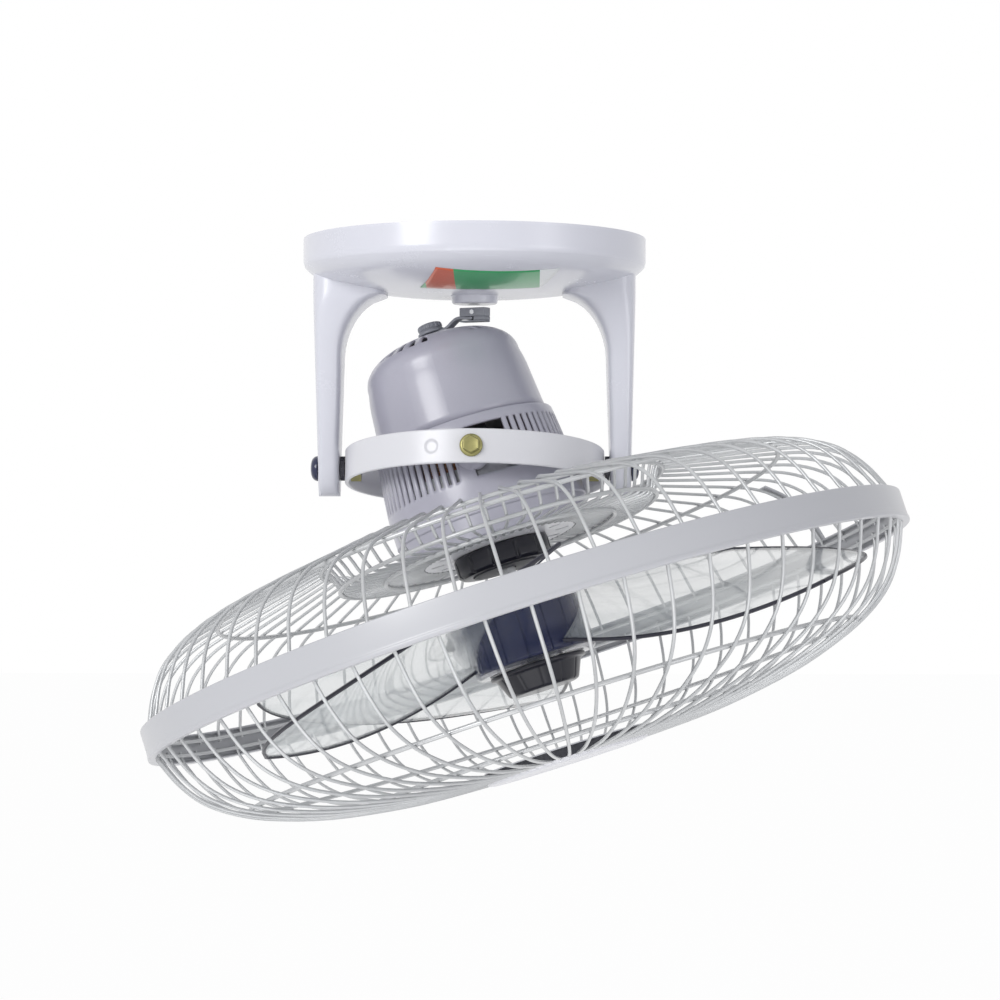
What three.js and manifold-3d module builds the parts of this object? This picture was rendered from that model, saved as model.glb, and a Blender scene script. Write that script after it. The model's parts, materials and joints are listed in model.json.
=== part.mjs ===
// Orbital ceiling fan, 400 mm class. Millimetres, +Z up.
// Origin: centre of the ceiling plate's top face, which lies against the ceiling.
// The yoke hangs from the ceiling and carries a gimbal ring on a left-right axis.
// The ring carries the motor head on a front-back axis. A slow geared motor at the back of
// the head turns a crank whose end block pivots on the stud under the canopy, so the tilted
// head sweeps round in a circle.
import * as THREE from 'three';
import { mergeVertices } from 'three/addons/utils/BufferGeometryUtils.js';
import Module from 'manifold-3d';

const wasm = await Module();
wasm.setup();

// ---------- driving dimensions ----------
const seatGap = 0.3; // left between pieces that touch
const pressGap = 0.1; // radial clearance of close fits
const runGap = 0.4; // radial clearance of turning fits

// Pose in which the fan hangs at rest, in degrees.
const ringTilt = 9.6; // gimbal ring about X, front edge up
const headTilt = 17.7; // head about the ring's own Y axis, rear end to the left

// Canopy and yoke.
const canopyRadius = 100;
const rimHeight = 15.2;
const canopyWall = 3;
const bowlDepth = 32.5; // ceiling to the underside of the bowl
const coveInset = 5.6; // rim to where its cove meets the bowl
const coveDrop = 6.5;
const bossRadius = 13.2;
const bossDrop = 4.6; // boss below the bowl
const pivotBelowBowl = 101; // underside of the bowl to both tilt axes
const legClearance = 3; // gimbal ring to each leg's inner face
const legThickness = 12.6;
const legDepth = 28; // front to back, at the pivot
const legRootDepth = 44;
const legRootThickness = 30;
const legFlare = 26; // fillet between leg and bowl
const footRadius = 16.4;

// Ceiling plate and what hangs from it.
const plateThickness = 2;
const plateMargin = 1.2; // plate edge to canopy wall
const tabWidth = 14;
const tabDrop = 12;
const tabSpread = 35; // tab screws each side of the back, in degrees
const tabScrewRadius = 2;
const tabScrewHead = 4;
const cableHole = 11;
const cableHoleSetback = 27; // from the centre towards the front
const anchorSlotLength = 16;
const anchorSlotWidth = 6;
const anchorSpacing = 60;
const terminalSize = new THREE.Vector3(34, 16, 12);
const terminalPlace = new THREE.Vector2(-8, -42);
const terminalPoles = 3;
const capacitorSize = new THREE.Vector3(40, 18, 18);
const capacitorInset = 34; // canopy's side to the capacitor's middle

// Gimbal ring and its pivots.
const ringClearance = 16; // motor housing to the ring's inner face
const ringWall = 2.4;
const ringHeight = 19.3;
const legBoltRadius = 4;
const legBoltHead = 7.5;
const legBoltHeadHeight = 4.6;
const legBushRadius = 7.5;
const legNutFlats = 13;
const legNutHeight = 6;
const headScrewRadius = 3;
const headScrewFlange = 6.4;
const headScrewFlangeHeight = 1.4;
const headScrewFlats = 9;
const headScrewHeadHeight = 3;
const dimpleRadius = 4;
const dimpleDepth = 0.7;
const dimpleAzimuth = -107;

// Motor: heights are along the head's axis from the tilt axes, + towards the ceiling.
const housingTop = 21.2;
const housingBottom = -47.2;
const housingTopRadius = 54;
const housingRadius = 57.6;
const skirtStepHeight = -34;
const housingWall = 3;
const spigotHeight = 8;
const slotPitch = 5; // degrees
const slotWidth = 2.2;
const slotTop = 15;
const slotBottom = -14.3;
const windowAzimuth = -80;
const windowSlots = 5; // slots that the wiring window replaces
const trunnionRadius = 7.5;
const trunnionPad = 10.5;
const coverCrown = 81.8;
const coverWall = 2.2;
const coverBottomRadius = 51;
const coverWaistRadius = 48.4;
const coverWaistHeight = 50;
const coverShoulderRadius = 46.6;
const coverShoulderHeight = 60;
const ventInner = 30.5;
const ventOuter = 39.5;
const ventWidth = 2.6;
const ventPitch = 11.5; // degrees
const ventsPerGroup = 5;
const ventGroups = 4;
const ventAzimuth = -122;
const shaftRadius = 5;
const stackTop = -6;
const stackLength = 24;
const rotorRadius = 23.7;
const airGap = 0.5;
const coilHeight = 11;
const coilInner = 29;
const coilOuter = 46;
const bearingRadius = 11;
const bearingLength = 7;
const bearingWall = 3;
const shieldThickness = 3;
const bracketThickness = 3;
const noseRadius = 20;
const noseLength = 15.2;
const orbitMotorRadius = 24.5;
const orbitMotorHeight = 20;
const orbitMotorLift = 14; // under the orbit motor, above the rear bracket
const orbitMotorEar = 5;
const orbitBracketThickness = 2;
const orbitBracketWidth = 18;
const orbitShaftDepth = 6;
const orbitScrewRadius = 1.5;

// Crank.
const outputRadius = 4;
const armThickness = 1.6;
const armWidth = 10;
const armLift = 0.8; // arm above the crown
const knobRadius = 7.4;
const knobHeight = 6.2;
const knobGroove = 0.9;
const blockLength = 17;
const blockThickness = 7;
const blockHeight = 8.4;
const blockBelowBoss = 2.1; // boss face to block top, along the axis of the orbit
const blockSlot = 9;
const swivelPinRadius = 1.5;
const studRadius = 4;
const studNutFlats = 13;
const studNutHeight = 5;

// Guards: heights from the mid-plane of the clamp ring, radii from the head's axis.
const guardDrop = 101; // tilt axes to the clamp ring's mid-plane
const clampRadius = 227.5;
const clampHeight = 17.6;
const clampWall = 1.8;
const clampLip = 4.4;
const clampBead = 1.5;
const clampSplit = 4;
const clampEarLength = 11;
const clampEarThickness = 2.4;
const clampScrewRadius = 2;
const clampNutFlats = 7;
const wireCount = 60;
const wireRadius = 1.2;
const hoopRadius = 1.4;
const rearWirePhase = 3.7; // degrees round from the front wires
const rearPlateRadius = 46;
const rearPlateThickness = 1.6;
const rearPlateSlots = 12;
const lockNutRadius = 28.5;
const lockNutHeight = 12.4;
const lockNutGrips = 12;
const strapAzimuth = 28;
const strapWidth = 8;
const strapThickness = 1.2;
const frontPlateRadius = 48.5;
const frontPlateBottom = -79;
const frontPlateDepth = 8.5;
const frontPlateWall = 1.4;
// Hoops and bends of each guard: inset from the clamp ring, and height from its mid-plane.
const rimHoopInset = 4.2;
const rimHoopHeight = 1.7;
const frontBendInset = 19.5;
const frontBendHeight = -36;
const frontHoopInset = 45.5;
const frontHoopHeight = -55.3;
const frontEasingInset = 97.5;
const frontEasingHeight = -70.5;
const rearBendInset = 19;
const rearBendHeight = 37.5;
const rearHoopInset = 57.5;
const rearHoopHeight = 54.2;
const crownClearance = 12.4; // each leg's outer face to the crown's hoop
const crownHeight = 68.8;
const wellSlope = 8.5; // radius from the crown's hoop to the hoop at the foot of the well's wall
const wellHeight = 54.3;
const floorHoopRadius = 70; // hoop in the well's floor
const crownParts = 6;

// Fan.
const hubRadius = 36;
const hubWall = 2.4;
const hubTop = 30; // from the clamp ring's mid-plane
const hubBottom = -19.6;
const coreWall = 3;
const bladeCount = 3;
const bladeThickness = 2;
const bladeTip = 198;
const bladeAzimuth = 4;
const bladeCornerRound = 17;
const drivePinRadius = 2;
const drivePinReach = 10; // each side of the shaft's axis
const drivePinDepth = 6; // under the hub's top
const spinnerFlange = 28.5;
const spinnerFlangeThickness = 2.4;
const spinnerRadius = 25.5;
const spinnerEnd = 21;
const spinnerHeight = 14.6;

// Facets round a turned piece, by its size. Turned pieces without one of these take fewest.
const facetsLarge = 60;
const facetsMiddle = 30;
const facetsSmall = 20;
const facetsFewest = 10;

// ---------- derived places ----------
const rad = THREE.MathUtils.degToRad;
const coveRadius = canopyRadius - coveInset;
const pivotDrop = bowlDepth + pivotBelowBowl; // ceiling to both tilt axes
const ringInner = housingRadius + ringClearance;
const ringOuter = ringInner + ringWall;
const legInner = ringOuter + legClearance;
const legOuter = legInner + legThickness;
const tabScrewHeight = -(tabDrop + plateThickness) / 2;
const washerSeat = ringInner - 2.2;
const guardPlane = -guardDrop;
const rearPlateTop = housingBottom - seatGap;
const lockNutTop = rearPlateTop - rearPlateThickness - seatGap;
const stackBottom = stackTop - stackLength;
const coverBottom = housingTop + seatGap;
const spigotRadius = coverBottomRadius - coverWall - 1.2;
const housingInner = housingRadius - 1 - housingWall; // below the slots
const armBottom = coverCrown + armLift;
const spinnerTop = guardPlane + hubBottom - seatGap;
const drivePinHeight = hubTop - drivePinDepth;
const orbitTilt = Math.acos(Math.cos(rad(ringTilt)) * Math.cos(rad(headTilt)));
const bossFace = pivotDrop - bowlDepth - bossDrop; // above the tilt axes
const crankAzimuth = Math.atan2(-Math.sin(rad(ringTilt)),
  Math.cos(rad(ringTilt)) * Math.sin(rad(headTilt)));

// Hoops and bends of each guard, [radius, height].
const rimHoop = [clampRadius - rimHoopInset, rimHoopHeight];
const frontBend = [clampRadius - frontBendInset, frontBendHeight];
const frontHoop = [clampRadius - frontHoopInset, frontHoopHeight];
const frontEasing = [clampRadius - frontEasingInset, frontEasingHeight];
const rearBend = [clampRadius - rearBendInset, rearBendHeight];
const rearHoop = [clampRadius - rearHoopInset, rearHoopHeight];
const crownHoop = [legOuter + crownClearance, crownHeight];
const wellHoop = [crownHoop[0] - wellSlope, wellHeight];

// ---------- shape helpers ----------
const through = 300; // reach of a cut that goes right through

function closed(geometry) {
  geometry.deleteAttribute('normal');
  geometry.deleteAttribute('uv');
  const merged = mergeVertices(geometry, 1e-4);
  const source = merged.index.array;
  const position = merged.attributes.position;
  const kept = [];
  let volume = 0;
  const [a, b, c] = [new THREE.Vector3(), new THREE.Vector3(), new THREE.Vector3()];
  for (let i = 0; i < source.length; i += 3) {
    const [p, q, r] = [source[i], source[i + 1], source[i + 2]];
    if (p === q || q === r || r === p) continue;
    kept.push(p, q, r);
    a.fromBufferAttribute(position, p);
    b.fromBufferAttribute(position, q);
    c.fromBufferAttribute(position, r);
    volume += a.dot(b.cross(c));
  }
  merged.setIndex(volume < 0 ? kept.reverse() : kept);
  return merged;
}

function solid(geometry) {
  const merged = closed(geometry);
  return new wasm.Manifold(new wasm.Mesh({
    numProp: 3,
    vertProperties: new Float32Array(merged.attributes.position.array),
    triVerts: new Uint32Array(merged.index.array),
  }));
}

function surface(manifold) {
  const mesh = manifold.getMesh();
  const geometry = new THREE.BufferGeometry();
  geometry.setAttribute('position', new THREE.BufferAttribute(mesh.vertProperties, 3));
  geometry.setIndex(new THREE.BufferAttribute(mesh.triVerts, 1));
  return geometry;
}

const joined = (geometries) => geometries.map(solid).reduce((whole, next) => whole.add(next));
const cut = (body, tools) => tools.map(solid).reduce((whole, next) => whole.subtract(next), body);

// Profile of [radius, height] points turned about Z.
function revolve(profile, segments = facetsFewest) {
  const points = profile.map(([r, z]) => new THREE.Vector2(r, z));
  return new THREE.LatheGeometry(points, segments).rotateX(Math.PI / 2);
}

const ringProfile = (inner, outer, low, high) => (
  [[inner, low], [outer, low], [outer, high], [inner, high], [inner, low]]);
const ring = (inner, outer, low, high, segments) => (
  revolve(ringProfile(inner, outer, low, high), segments));
const disc = (radius, low, high, segments) => (
  revolve([[0, low], [radius, low], [radius, high], [0, high]], segments));

function prism(shape, low, high) {
  const options = { depth: high - low, bevelEnabled: false, curveSegments: 3 };
  return new THREE.ExtrudeGeometry(shape, options).translate(0, 0, low);
}

function polygon(sides, radius, phase = 0) {
  const corner = (i) => {
    const angle = phase + (i / sides) * Math.PI * 2;
    return new THREE.Vector2(radius * Math.cos(angle), radius * Math.sin(angle));
  };
  return Array.from({ length: sides }, (_, i) => corner(i));
}

const hexagon = (flats) => new THREE.Shape(polygon(6, flats / Math.sqrt(3)));

function roundedRectangle(width, depth, radius) {
  const shape = new THREE.Shape();
  const [x, y] = [width / 2 - radius, depth / 2 - radius];
  shape.absarc(x, y, radius, 0, Math.PI / 2);
  shape.absarc(-x, y, radius, Math.PI / 2, Math.PI);
  shape.absarc(-x, -y, radius, Math.PI, Math.PI * 1.5);
  shape.absarc(x, -y, radius, Math.PI * 1.5, Math.PI * 2);
  return shape;
}

const box = (x0, x1, y0, y1, z0, z1) => (
  new THREE.BoxGeometry(x1 - x0, y1 - y0, z1 - z0)
    .translate((x0 + x1) / 2, (y0 + y1) / 2, (z0 + z1) / 2));

// Skin over sections with equal point counts, closed by a flat strip at each end.
function loft(sections) {
  const count = sections[0].length;
  const indices = [];
  for (let s = 0; s < sections.length - 1; s++) {
    for (let i = 0; i < count; i++) {
      const j = (i + 1) % count;
      const [a, b] = [s * count + i, s * count + j];
      indices.push(a, b, b + count, a, b + count, a + count);
    }
  }
  const cap = (base, flip) => {
    for (let i = 0; i + 1 < count - 1 - i; i++) {
      const [a, b, c, d] = [i, i + 1, count - 2 - i, count - 1 - i].map((k) => base + k);
      indices.push(...(flip ? [a, d, b] : [a, b, d]));
      if (b < c) indices.push(...(flip ? [b, d, c] : [b, c, d]));
    }
  };
  cap(0, true);
  cap((sections.length - 1) * count, false);
  const geometry = new THREE.BufferGeometry();
  const numbers = sections.flat().flatMap((p) => [p.x, p.y, p.z]);
  geometry.setAttribute('position', new THREE.Float32BufferAttribute(numbers, 3));
  geometry.setIndex(indices);
  return geometry;
}

// Point on the way from one [radius, height] towards another.
function onTheWay(from, to, distance) {
  const start = new THREE.Vector2(...from);
  return new THREE.Vector2(...to).sub(start).setLength(distance).add(start).toArray();
}

// Grid of wires bent along one outline and welded to hoops, as one closed body.
// Each wire is three-sided. An outline entry is [radius, height, welded]: where a hoop is
// welded on, the wire has two sections a hoop's width apart, and the faces between them
// run on to the next wire. A part of a grid has only some of the wires, and its hoops end
// just short of the next part's first wire.
function wireGrid(outline, phase, first = 0, count = wireCount) {
  const open = count < wireCount;
  const columns = open ? count + 1 : count;
  const rows = [];
  outline.forEach(([r, z, welded], i) => {
    const before = outline[Math.max(i - 1, 0)];
    const after = outline[Math.min(i + 1, outline.length - 1)];
    const along = new THREE.Vector2(after[0] - before[0], after[1] - before[1]).normalize();
    for (const shift of welded ? [-hoopRadius, hoopRadius] : [0]) {
      const at = new THREE.Vector2(r, z).addScaledVector(along, shift);
      rows.push({ at, along, hoop: welded && shift < 0 });
    }
  });
  const numbers = [];
  for (let column = 0; column < columns; column++) {
    const azimuth = rad(phase) + ((first + column) / wireCount) * Math.PI * 2;
    for (const { at, along } of rows) {
      const short = column < count ? 0 : (2 * seatGap) / at.x;
      for (const { x, y } of polygon(3, wireRadius)) {
        const corner = new THREE.Vector3(at.x + along.y * x, y, at.y - along.x * x);
        numbers.push(...corner.applyAxisAngle(new THREE.Vector3(0, 0, 1), azimuth - short).toArray());
      }
    }
  }
  const corner = (column, row, k) => ((column % columns) * rows.length + row) * 3 + (k % 3);
  const indices = [];
  const quad = (a, b, c, d) => indices.push(a, b, c, a, c, d);
  const last = rows.length - 1;
  for (let i = 0; i < count; i++) {
    indices.push(corner(i, 0, 0), corner(i, 0, 2), corner(i, 0, 1));
    indices.push(corner(i, last, 0), corner(i, last, 1), corner(i, last, 2));
    for (let row = 0; row < last; row++) {
      for (let k = 0; k < 3; k++) {
        const joins = k === 0 || (k === 2 && (i > 0 || !open));
        if (rows[row].hoop && joins) continue;
        const [near, far] = [[i, row], [i, row + 1]];
        quad(corner(...near, k), corner(...near, k + 1), corner(...far, k + 1), corner(...far, k));
      }
      if (!rows[row].hoop) continue;
      // Hoop: runs from this wire's side face to the facing one of the next wire.
      const here = [corner(i, row, 0), corner(i, row, 1), corner(i, row + 1, 1), corner(i, row + 1, 0)];
      const next = [corner(i + 1, row, 0), corner(i + 1, row, 2), corner(i + 1, row + 1, 2),
        corner(i + 1, row + 1, 0)];
      for (let k = 0; k < 4; k++) quad(here[k], here[(k + 1) % 4], next[(k + 1) % 4], next[k]);
      if (open && i === count - 1) quad(...next);
    }
  }
  const geometry = new THREE.BufferGeometry();
  geometry.setAttribute('position', new THREE.Float32BufferAttribute(numbers, 3));
  geometry.setIndex(indices);
  return geometry;
}

const alongX = (geometry) => geometry.rotateY(Math.PI / 2);
const alongY = (geometry) => geometry.rotateX(Math.PI / 2);

// ---------- materials ----------
const finish = (color, roughness, metalness = 0, opacity = 1) => (
  new THREE.MeshStandardMaterial({ color, roughness, metalness, opacity, transparent: opacity < 1 }));
const white = finish(0xdadce4, 0.22);
const ringWhite = finish(0xe9e8ee, 0.3);
const lavender = finish(0xb9bac6, 0.35);
const clampGrey = finish(0xc4c4cc, 0.38);
const wireGrey = finish(0xc9ccd0, 0.3, 0.4);
const clear = finish(0xdfe8ea, 0.06, 0, 0.3);
const black = finish(0x0b0c10, 0.35);
const navy = finish(0x15182e, 0.3);
const darkGrey = finish(0x35363c, 0.5);
const steel = finish(0x9fa2a6, 0.35, 0.9);
const brass = finish(0x9d9440, 0.35, 0.9);
const copper = finish(0x8c4a2c, 0.4, 0.8);
const crankGrey = finish(0x7d8086, 0.45, 0.3);
const nylon = finish(0xe6e3d8, 0.5);

// ---------- bracket ----------
function makeCeilingPlate() {
  const radius = canopyRadius - canopyWall - plateMargin;
  const plate = [disc(radius, -plateThickness, 0, facetsMiddle)];
  const tools = [disc(cableHole, -through, through).translate(0, -cableHoleSetback, 0)];
  const anchorSlot = roundedRectangle(anchorSlotLength, anchorSlotWidth, anchorSlotWidth / 2 - 0.01);
  for (const side of [-1, 1]) {
    tools.push(prism(anchorSlot, -through, through).translate(side * anchorSpacing, 0, 0));
    const turn = rad(90 + side * tabSpread);
    const tab = box(radius - plateThickness, radius, -tabWidth / 2, tabWidth / 2, -tabDrop, -0.5);
    plate.push(tab.rotateZ(turn));
    const hole = alongX(disc(tabScrewRadius + seatGap, 0, through, 8));
    tools.push(hole.translate(0, 0, tabScrewHeight).rotateZ(turn));
  }
  return surface(cut(joined(plate), tools));
}

function makeTabScrew(side) {
  const tip = canopyRadius - canopyWall - plateMargin - plateThickness - 5;
  const seat = canopyRadius + seatGap;
  const profile = [[0, tip], [tabScrewRadius, tip], [tabScrewRadius, seat], [tabScrewHead, seat],
    [tabScrewHead * 0.7, seat + 1.6], [0, seat + 2]];
  return alongX(revolve(profile, 8)).translate(0, 0, tabScrewHeight).rotateZ(rad(90 + side * tabSpread));
}

function makeTerminalBlock() {
  const { x, y, z } = terminalSize;
  const top = -plateThickness - seatGap;
  const pole = x / terminalPoles;
  const block = [box(-x / 2, x / 2, -y / 2, y / 2, top - 3, top)];
  for (let i = 0; i < terminalPoles; i++) {
    const at = (i - (terminalPoles - 1) / 2) * pole;
    block.push(box(at - pole * 0.4, at + pole * 0.4, -y / 2 + 1, y / 2 - 1, top - z, top - 2));
  }
  return surface(joined(block)).translate(terminalPlace.x, terminalPlace.y, 0);
}

function makeCapacitor() {
  const { x, y, z } = capacitorSize;
  const top = -plateThickness - seatGap;
  return box(-x / 2, x / 2, -y / 2, y / 2, top - z, top).translate(0, canopyRadius - capacitorInset, 0);
}

// Bowl's underside: flat in the middle, rising to the cove.
const bowlHeight = (r) => -bowlDepth + (bowlDepth - rimHeight - coveDrop) * (r / coveRadius) ** 3;

function bowlOutline(offset) {
  const points = [];
  for (const share of [0, 0.55, 0.8, 1]) {
    const r = (coveRadius - offset) * share;
    points.push([r, bowlHeight(r) + offset]);
  }
  return points;
}

// One leg of the yoke: sections from the foot up into the bowl.
function legSections() {
  const flareStart = -(bowlDepth + legFlare);
  const lowest = -pivotDrop - footRadius;
  const levels = [lowest + 0.4, lowest + 3, lowest + 8, -pivotDrop, flareStart,
    flareStart + legFlare * 0.5, flareStart + legFlare * 0.8, -bowlDepth + 1, -rimHeight - 4];
  return levels.map((z) => {
    const up = THREE.MathUtils.clamp((z + pivotDrop) / (pivotDrop - bowlDepth), 0, 1);
    const flare = THREE.MathUtils.clamp((z - flareStart) / legFlare, 0, 1);
    const outer = legOuter + up * (coveRadius - 0.4 - legOuter);
    const straight = THREE.MathUtils.lerp(legInner, legInner - 3.2, up);
    const inner = straight - (legRootThickness - legThickness) * (1 - Math.sqrt(1 - flare * flare));
    const below = Math.max(-pivotDrop - z, 0);
    const depth = THREE.MathUtils.lerp(legDepth, legRootDepth, up ** 1.4 + flare * 0.15) / 2
      * Math.sqrt(1 - (below / footRadius) ** 2);
    const middle = (inner + outer) / 2;
    const half = (outer - inner) / 2;
    return polygon(12, 1, Math.PI / 12).map(({ x, y }) => {
      const power = 0.62;
      return new THREE.Vector3(middle + half * Math.sign(x) * Math.abs(x) ** power,
        depth * Math.sign(y) * Math.abs(y) ** power, z);
    });
  });
}

function makeYoke() {
  const outer = [...bowlOutline(0), [coveRadius + 1.6, -rimHeight - 2.4], [canopyRadius, -rimHeight],
    [canopyRadius, 0], [0, 0]];
  const inside = canopyRadius - canopyWall;
  const cavity = [...bowlOutline(canopyWall), [inside, -rimHeight], [inside, 5], [0, 5]];
  const right = loft(legSections());
  const left = loft(legSections()).rotateZ(Math.PI);
  const boss = disc(bossRadius, -bowlDepth - bossDrop, -bowlDepth + canopyWall, facetsSmall);
  const bowl = solid(revolve(outer, facetsMiddle)).add(solid(right)).add(solid(left));
  const hollow = bowl.subtract(solid(revolve(cavity, facetsMiddle))).add(solid(boss));
  const tools = [
    disc(studRadius + seatGap, -pivotDrop, through),
    alongX(disc(legBoltRadius + seatGap, -through, through)).translate(0, 0, -pivotDrop),
  ];
  for (const side of [-1, 1]) {
    const hole = alongX(disc(tabScrewRadius + seatGap, 0, through, 8));
    tools.push(hole.translate(0, 0, tabScrewHeight).rotateZ(rad(90 + side * tabSpread)));
  }
  return surface(cut(hollow, tools));
}

// Stud in the boss; its rounded end stands proud for the crank's block to lean on.
function makeSwivelStud() {
  const low = -pivotDrop + bossFace - seatGap;
  const high = -bowlDepth + canopyWall + studNutHeight + 2;
  return revolve([[0, low], [studRadius * 0.7, low], [studRadius, low + seatGap], [studRadius, high - 1],
    [studRadius - 1, high], [0, high]]);
}

function makeNut(flats, bore, low, high) {
  return surface(cut(solid(prism(hexagon(flats), low, high)), [disc(bore, -through, through)]));
}

// Pivot between leg and ring, drawn along +X about the tilt axes.
const legPivot = {
  bolt() {
    const [seat, tip] = [legOuter + seatGap, ringInner - legNutHeight - seatGap - 2];
    const head = legBoltHeadHeight;
    return alongX(revolve([[0, tip], [legBoltRadius - 0.6, tip], [legBoltRadius, tip + 0.8],
      [legBoltRadius, seat], [legBoltHead, seat], [legBoltHead, seat + head * 0.35],
      [legBoltHead * 0.7, seat + head * 0.85], [0, seat + head]]));
  },
  bush() {
    const inner = legBoltRadius + seatGap;
    return alongX(ring(inner, legBushRadius, ringOuter + seatGap, legInner - seatGap));
  },
  nut() {
    const high = ringInner - seatGap - 0.6;
    return alongX(makeNut(legNutFlats, legBoltRadius + pressGap, high - legNutHeight, high));
  },
};

// ---------- gimbal ring ----------
function makeGimbalRing() {
  const half = ringHeight / 2;
  const band = ringProfile(ringInner, ringOuter, -half, half);
  const tools = [
    alongX(disc(legBoltRadius + runGap, -through, through)),
    alongY(disc(headScrewRadius + runGap, -through, through)),
    alongX(disc(dimpleRadius, ringOuter - dimpleDepth, through)).rotateZ(rad(dimpleAzimuth)),
  ];
  return surface(cut(solid(revolve(band, facetsMiddle)), tools));
}

// Screw that carries the head in the ring, drawn along +Z, then turned to the front or back.
function makeHeadScrew() {
  const tip = housingTopRadius + 1;
  const seat = ringOuter + seatGap;
  const flange = seat + headScrewFlangeHeight;
  const shank = revolve([[0, tip], [headScrewRadius, tip], [headScrewRadius, seat],
    [headScrewFlange, seat], [headScrewFlange, flange], [0, flange]]);
  const head = prism(hexagon(headScrewFlats), flange - 0.5, flange + headScrewHeadHeight);
  return surface(joined([shank, head]));
}

const headScrewWasher = () => (
  ring(headScrewRadius + runGap, trunnionRadius - 0.5, washerSeat, ringInner - 1));

// ---------- motor ----------
function makeHousing() {
  const wall = housingWall;
  const low = housingBottom;
  const outline = [[spigotRadius, housingTop + spigotHeight], [spigotRadius, housingTop],
    [housingTopRadius, housingTop], [housingRadius, slotBottom - 2], [housingRadius, skirtStepHeight],
    [housingRadius - 1, skirtStepHeight - 1], [housingRadius - 1, low], [housingInner, low],
    [housingInner, slotBottom - 2], [housingTopRadius - wall, housingTop - wall],
    [spigotRadius - wall, housingTop - wall], [spigotRadius - wall, housingTop + spigotHeight],
    [spigotRadius, housingTop + spigotHeight]];
  let shell = solid(revolve(outline, 360 / (2 * slotPitch)));
  const tools = [];
  const reach = [housingTopRadius - wall - 2, housingRadius + 2];
  const windowHalf = (windowSlots / 2) * slotPitch;
  const trunnionPadHalf = THREE.MathUtils.radToDeg(Math.asin((trunnionPad + 1) / housingTopRadius));
  for (let azimuth = slotPitch / 2; azimuth < 360; azimuth += slotPitch) {
    const away = Math.abs(THREE.MathUtils.euclideanModulo(azimuth - windowAzimuth + 180, 360) - 180);
    const fromTrunnion = Math.abs(Math.abs(azimuth - 180) - 90);
    if (away < windowHalf || fromTrunnion < trunnionPadHalf) continue;
    tools.push(box(...reach, -slotWidth / 2, slotWidth / 2, slotBottom, slotTop).rotateZ(rad(azimuth)));
  }
  const halfWidth = housingRadius * Math.sin(rad(windowHalf)) - slotWidth / 2;
  tools.push(box(...reach, -halfWidth, halfWidth, slotBottom, slotTop).rotateZ(rad(windowAzimuth)));
  shell = cut(shell, tools);
  const trunnionEnd = washerSeat - seatGap;
  for (const side of [-1, 1]) {
    const boss = revolve([[0, housingTopRadius - wall / 2], [trunnionPad, housingTopRadius - wall / 2],
      [trunnionPad, housingRadius - 0.5], [trunnionRadius, housingRadius + 3],
      [trunnionRadius, trunnionEnd], [0, trunnionEnd]]);
    shell = shell.add(solid(alongY(boss).scale(1, -side, 1)));
  }
  const bore = alongY(disc(headScrewRadius + seatGap, -through, through));
  return surface(shell.subtract(solid(bore)));
}

// Radius of the cover's outside at each height, from its lower edge to the crown.
function coverOutline(offset, shares) {
  const points = [[coverBottomRadius - offset, coverBottom], [coverWaistRadius - offset, coverWaistHeight],
    [coverShoulderRadius - offset, coverShoulderHeight]];
  // Shoulder and crown follow a superellipse between the shoulder and the axis.
  const power = 2.35;
  for (const share of shares) {
    const height = (1 - share ** power) ** (1 / power);
    const rise = coverCrown - coverShoulderHeight;
    points.push([(coverShoulderRadius - offset) * share, coverShoulderHeight + (rise - offset) * height]);
  }
  return points;
}

function makeCover() {
  const hole = outputRadius + 1.6;
  const outside = coverOutline(0, [0.9, 0.72, 0.48, 0.24]);
  const inside = coverOutline(coverWall, [0.8, 0.4]).reverse();
  inside.pop();
  inside.push([coverBottomRadius - coverWall, coverBottom]);
  const profile = [...outside, [hole, coverCrown], [hole, coverCrown - coverWall], ...inside, outside[0]];
  const tools = [];
  for (let group = 0; group < ventGroups; group++) {
    for (let i = 0; i < ventsPerGroup; i++) {
      const turn = ventAzimuth + group * (360 / ventGroups) + (i - (ventsPerGroup - 1) / 2) * ventPitch;
      tools.push(box(ventInner, ventOuter, -ventWidth / 2, ventWidth / 2, coverShoulderHeight - 5, coverCrown)
        .rotateZ(rad(turn)));
    }
  }
  return surface(cut(solid(revolve(profile, facetsMiddle)), tools));
}

function makeFrontShield() {
  const low = housingBottom;
  const outer = housingInner - 2 * seatGap;
  const seat = bearingRadius + seatGap;
  const shoulder = low + shieldThickness;
  const nose = low - noseLength;
  return revolve([[shaftRadius + 1, nose], [noseRadius, nose], [noseRadius, low], [outer, low],
    [outer, shoulder], [seat, shoulder], [seat, shoulder - bearingLength],
    [shaftRadius + 1, shoulder - bearingLength], [shaftRadius + 1, nose]], facetsSmall);
}

// Rear bearing bracket across the housing's spigot; the orbit motor stands on it.
const rearBracketTop = housingTop + spigotHeight - 2;
function makeRearBracket() {
  const high = rearBracketTop;
  const low = high - bracketThickness;
  const outer = spigotRadius - housingWall - seatGap;
  const seat = bearingRadius + seatGap;
  const well = low - 5;
  return revolve([[seat, well], [seat + bearingWall, well], [seat + bearingWall, low], [outer, low],
    [outer, high], [shaftRadius + 2, high], [shaftRadius + 2, well + bearingLength],
    [seat, well + bearingLength], [seat, well]]);
}

const makeBearing = (low) => (
  ring(shaftRadius + runGap, bearingRadius, low + seatGap, low + bearingLength - seatGap));

const makeStator = () => {
  const outer = housingInner - 2.2;
  return ring(rotorRadius + airGap, outer, stackBottom, stackTop, facetsSmall);
};

function makeCoil(low) {
  const [inner, outer, high] = [coilInner, coilOuter, low + coilHeight];
  const soft = 4;
  return revolve([[inner, low], [outer, low], [outer - soft, high], [inner + soft, high],
    [inner, low]]);
}

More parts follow.
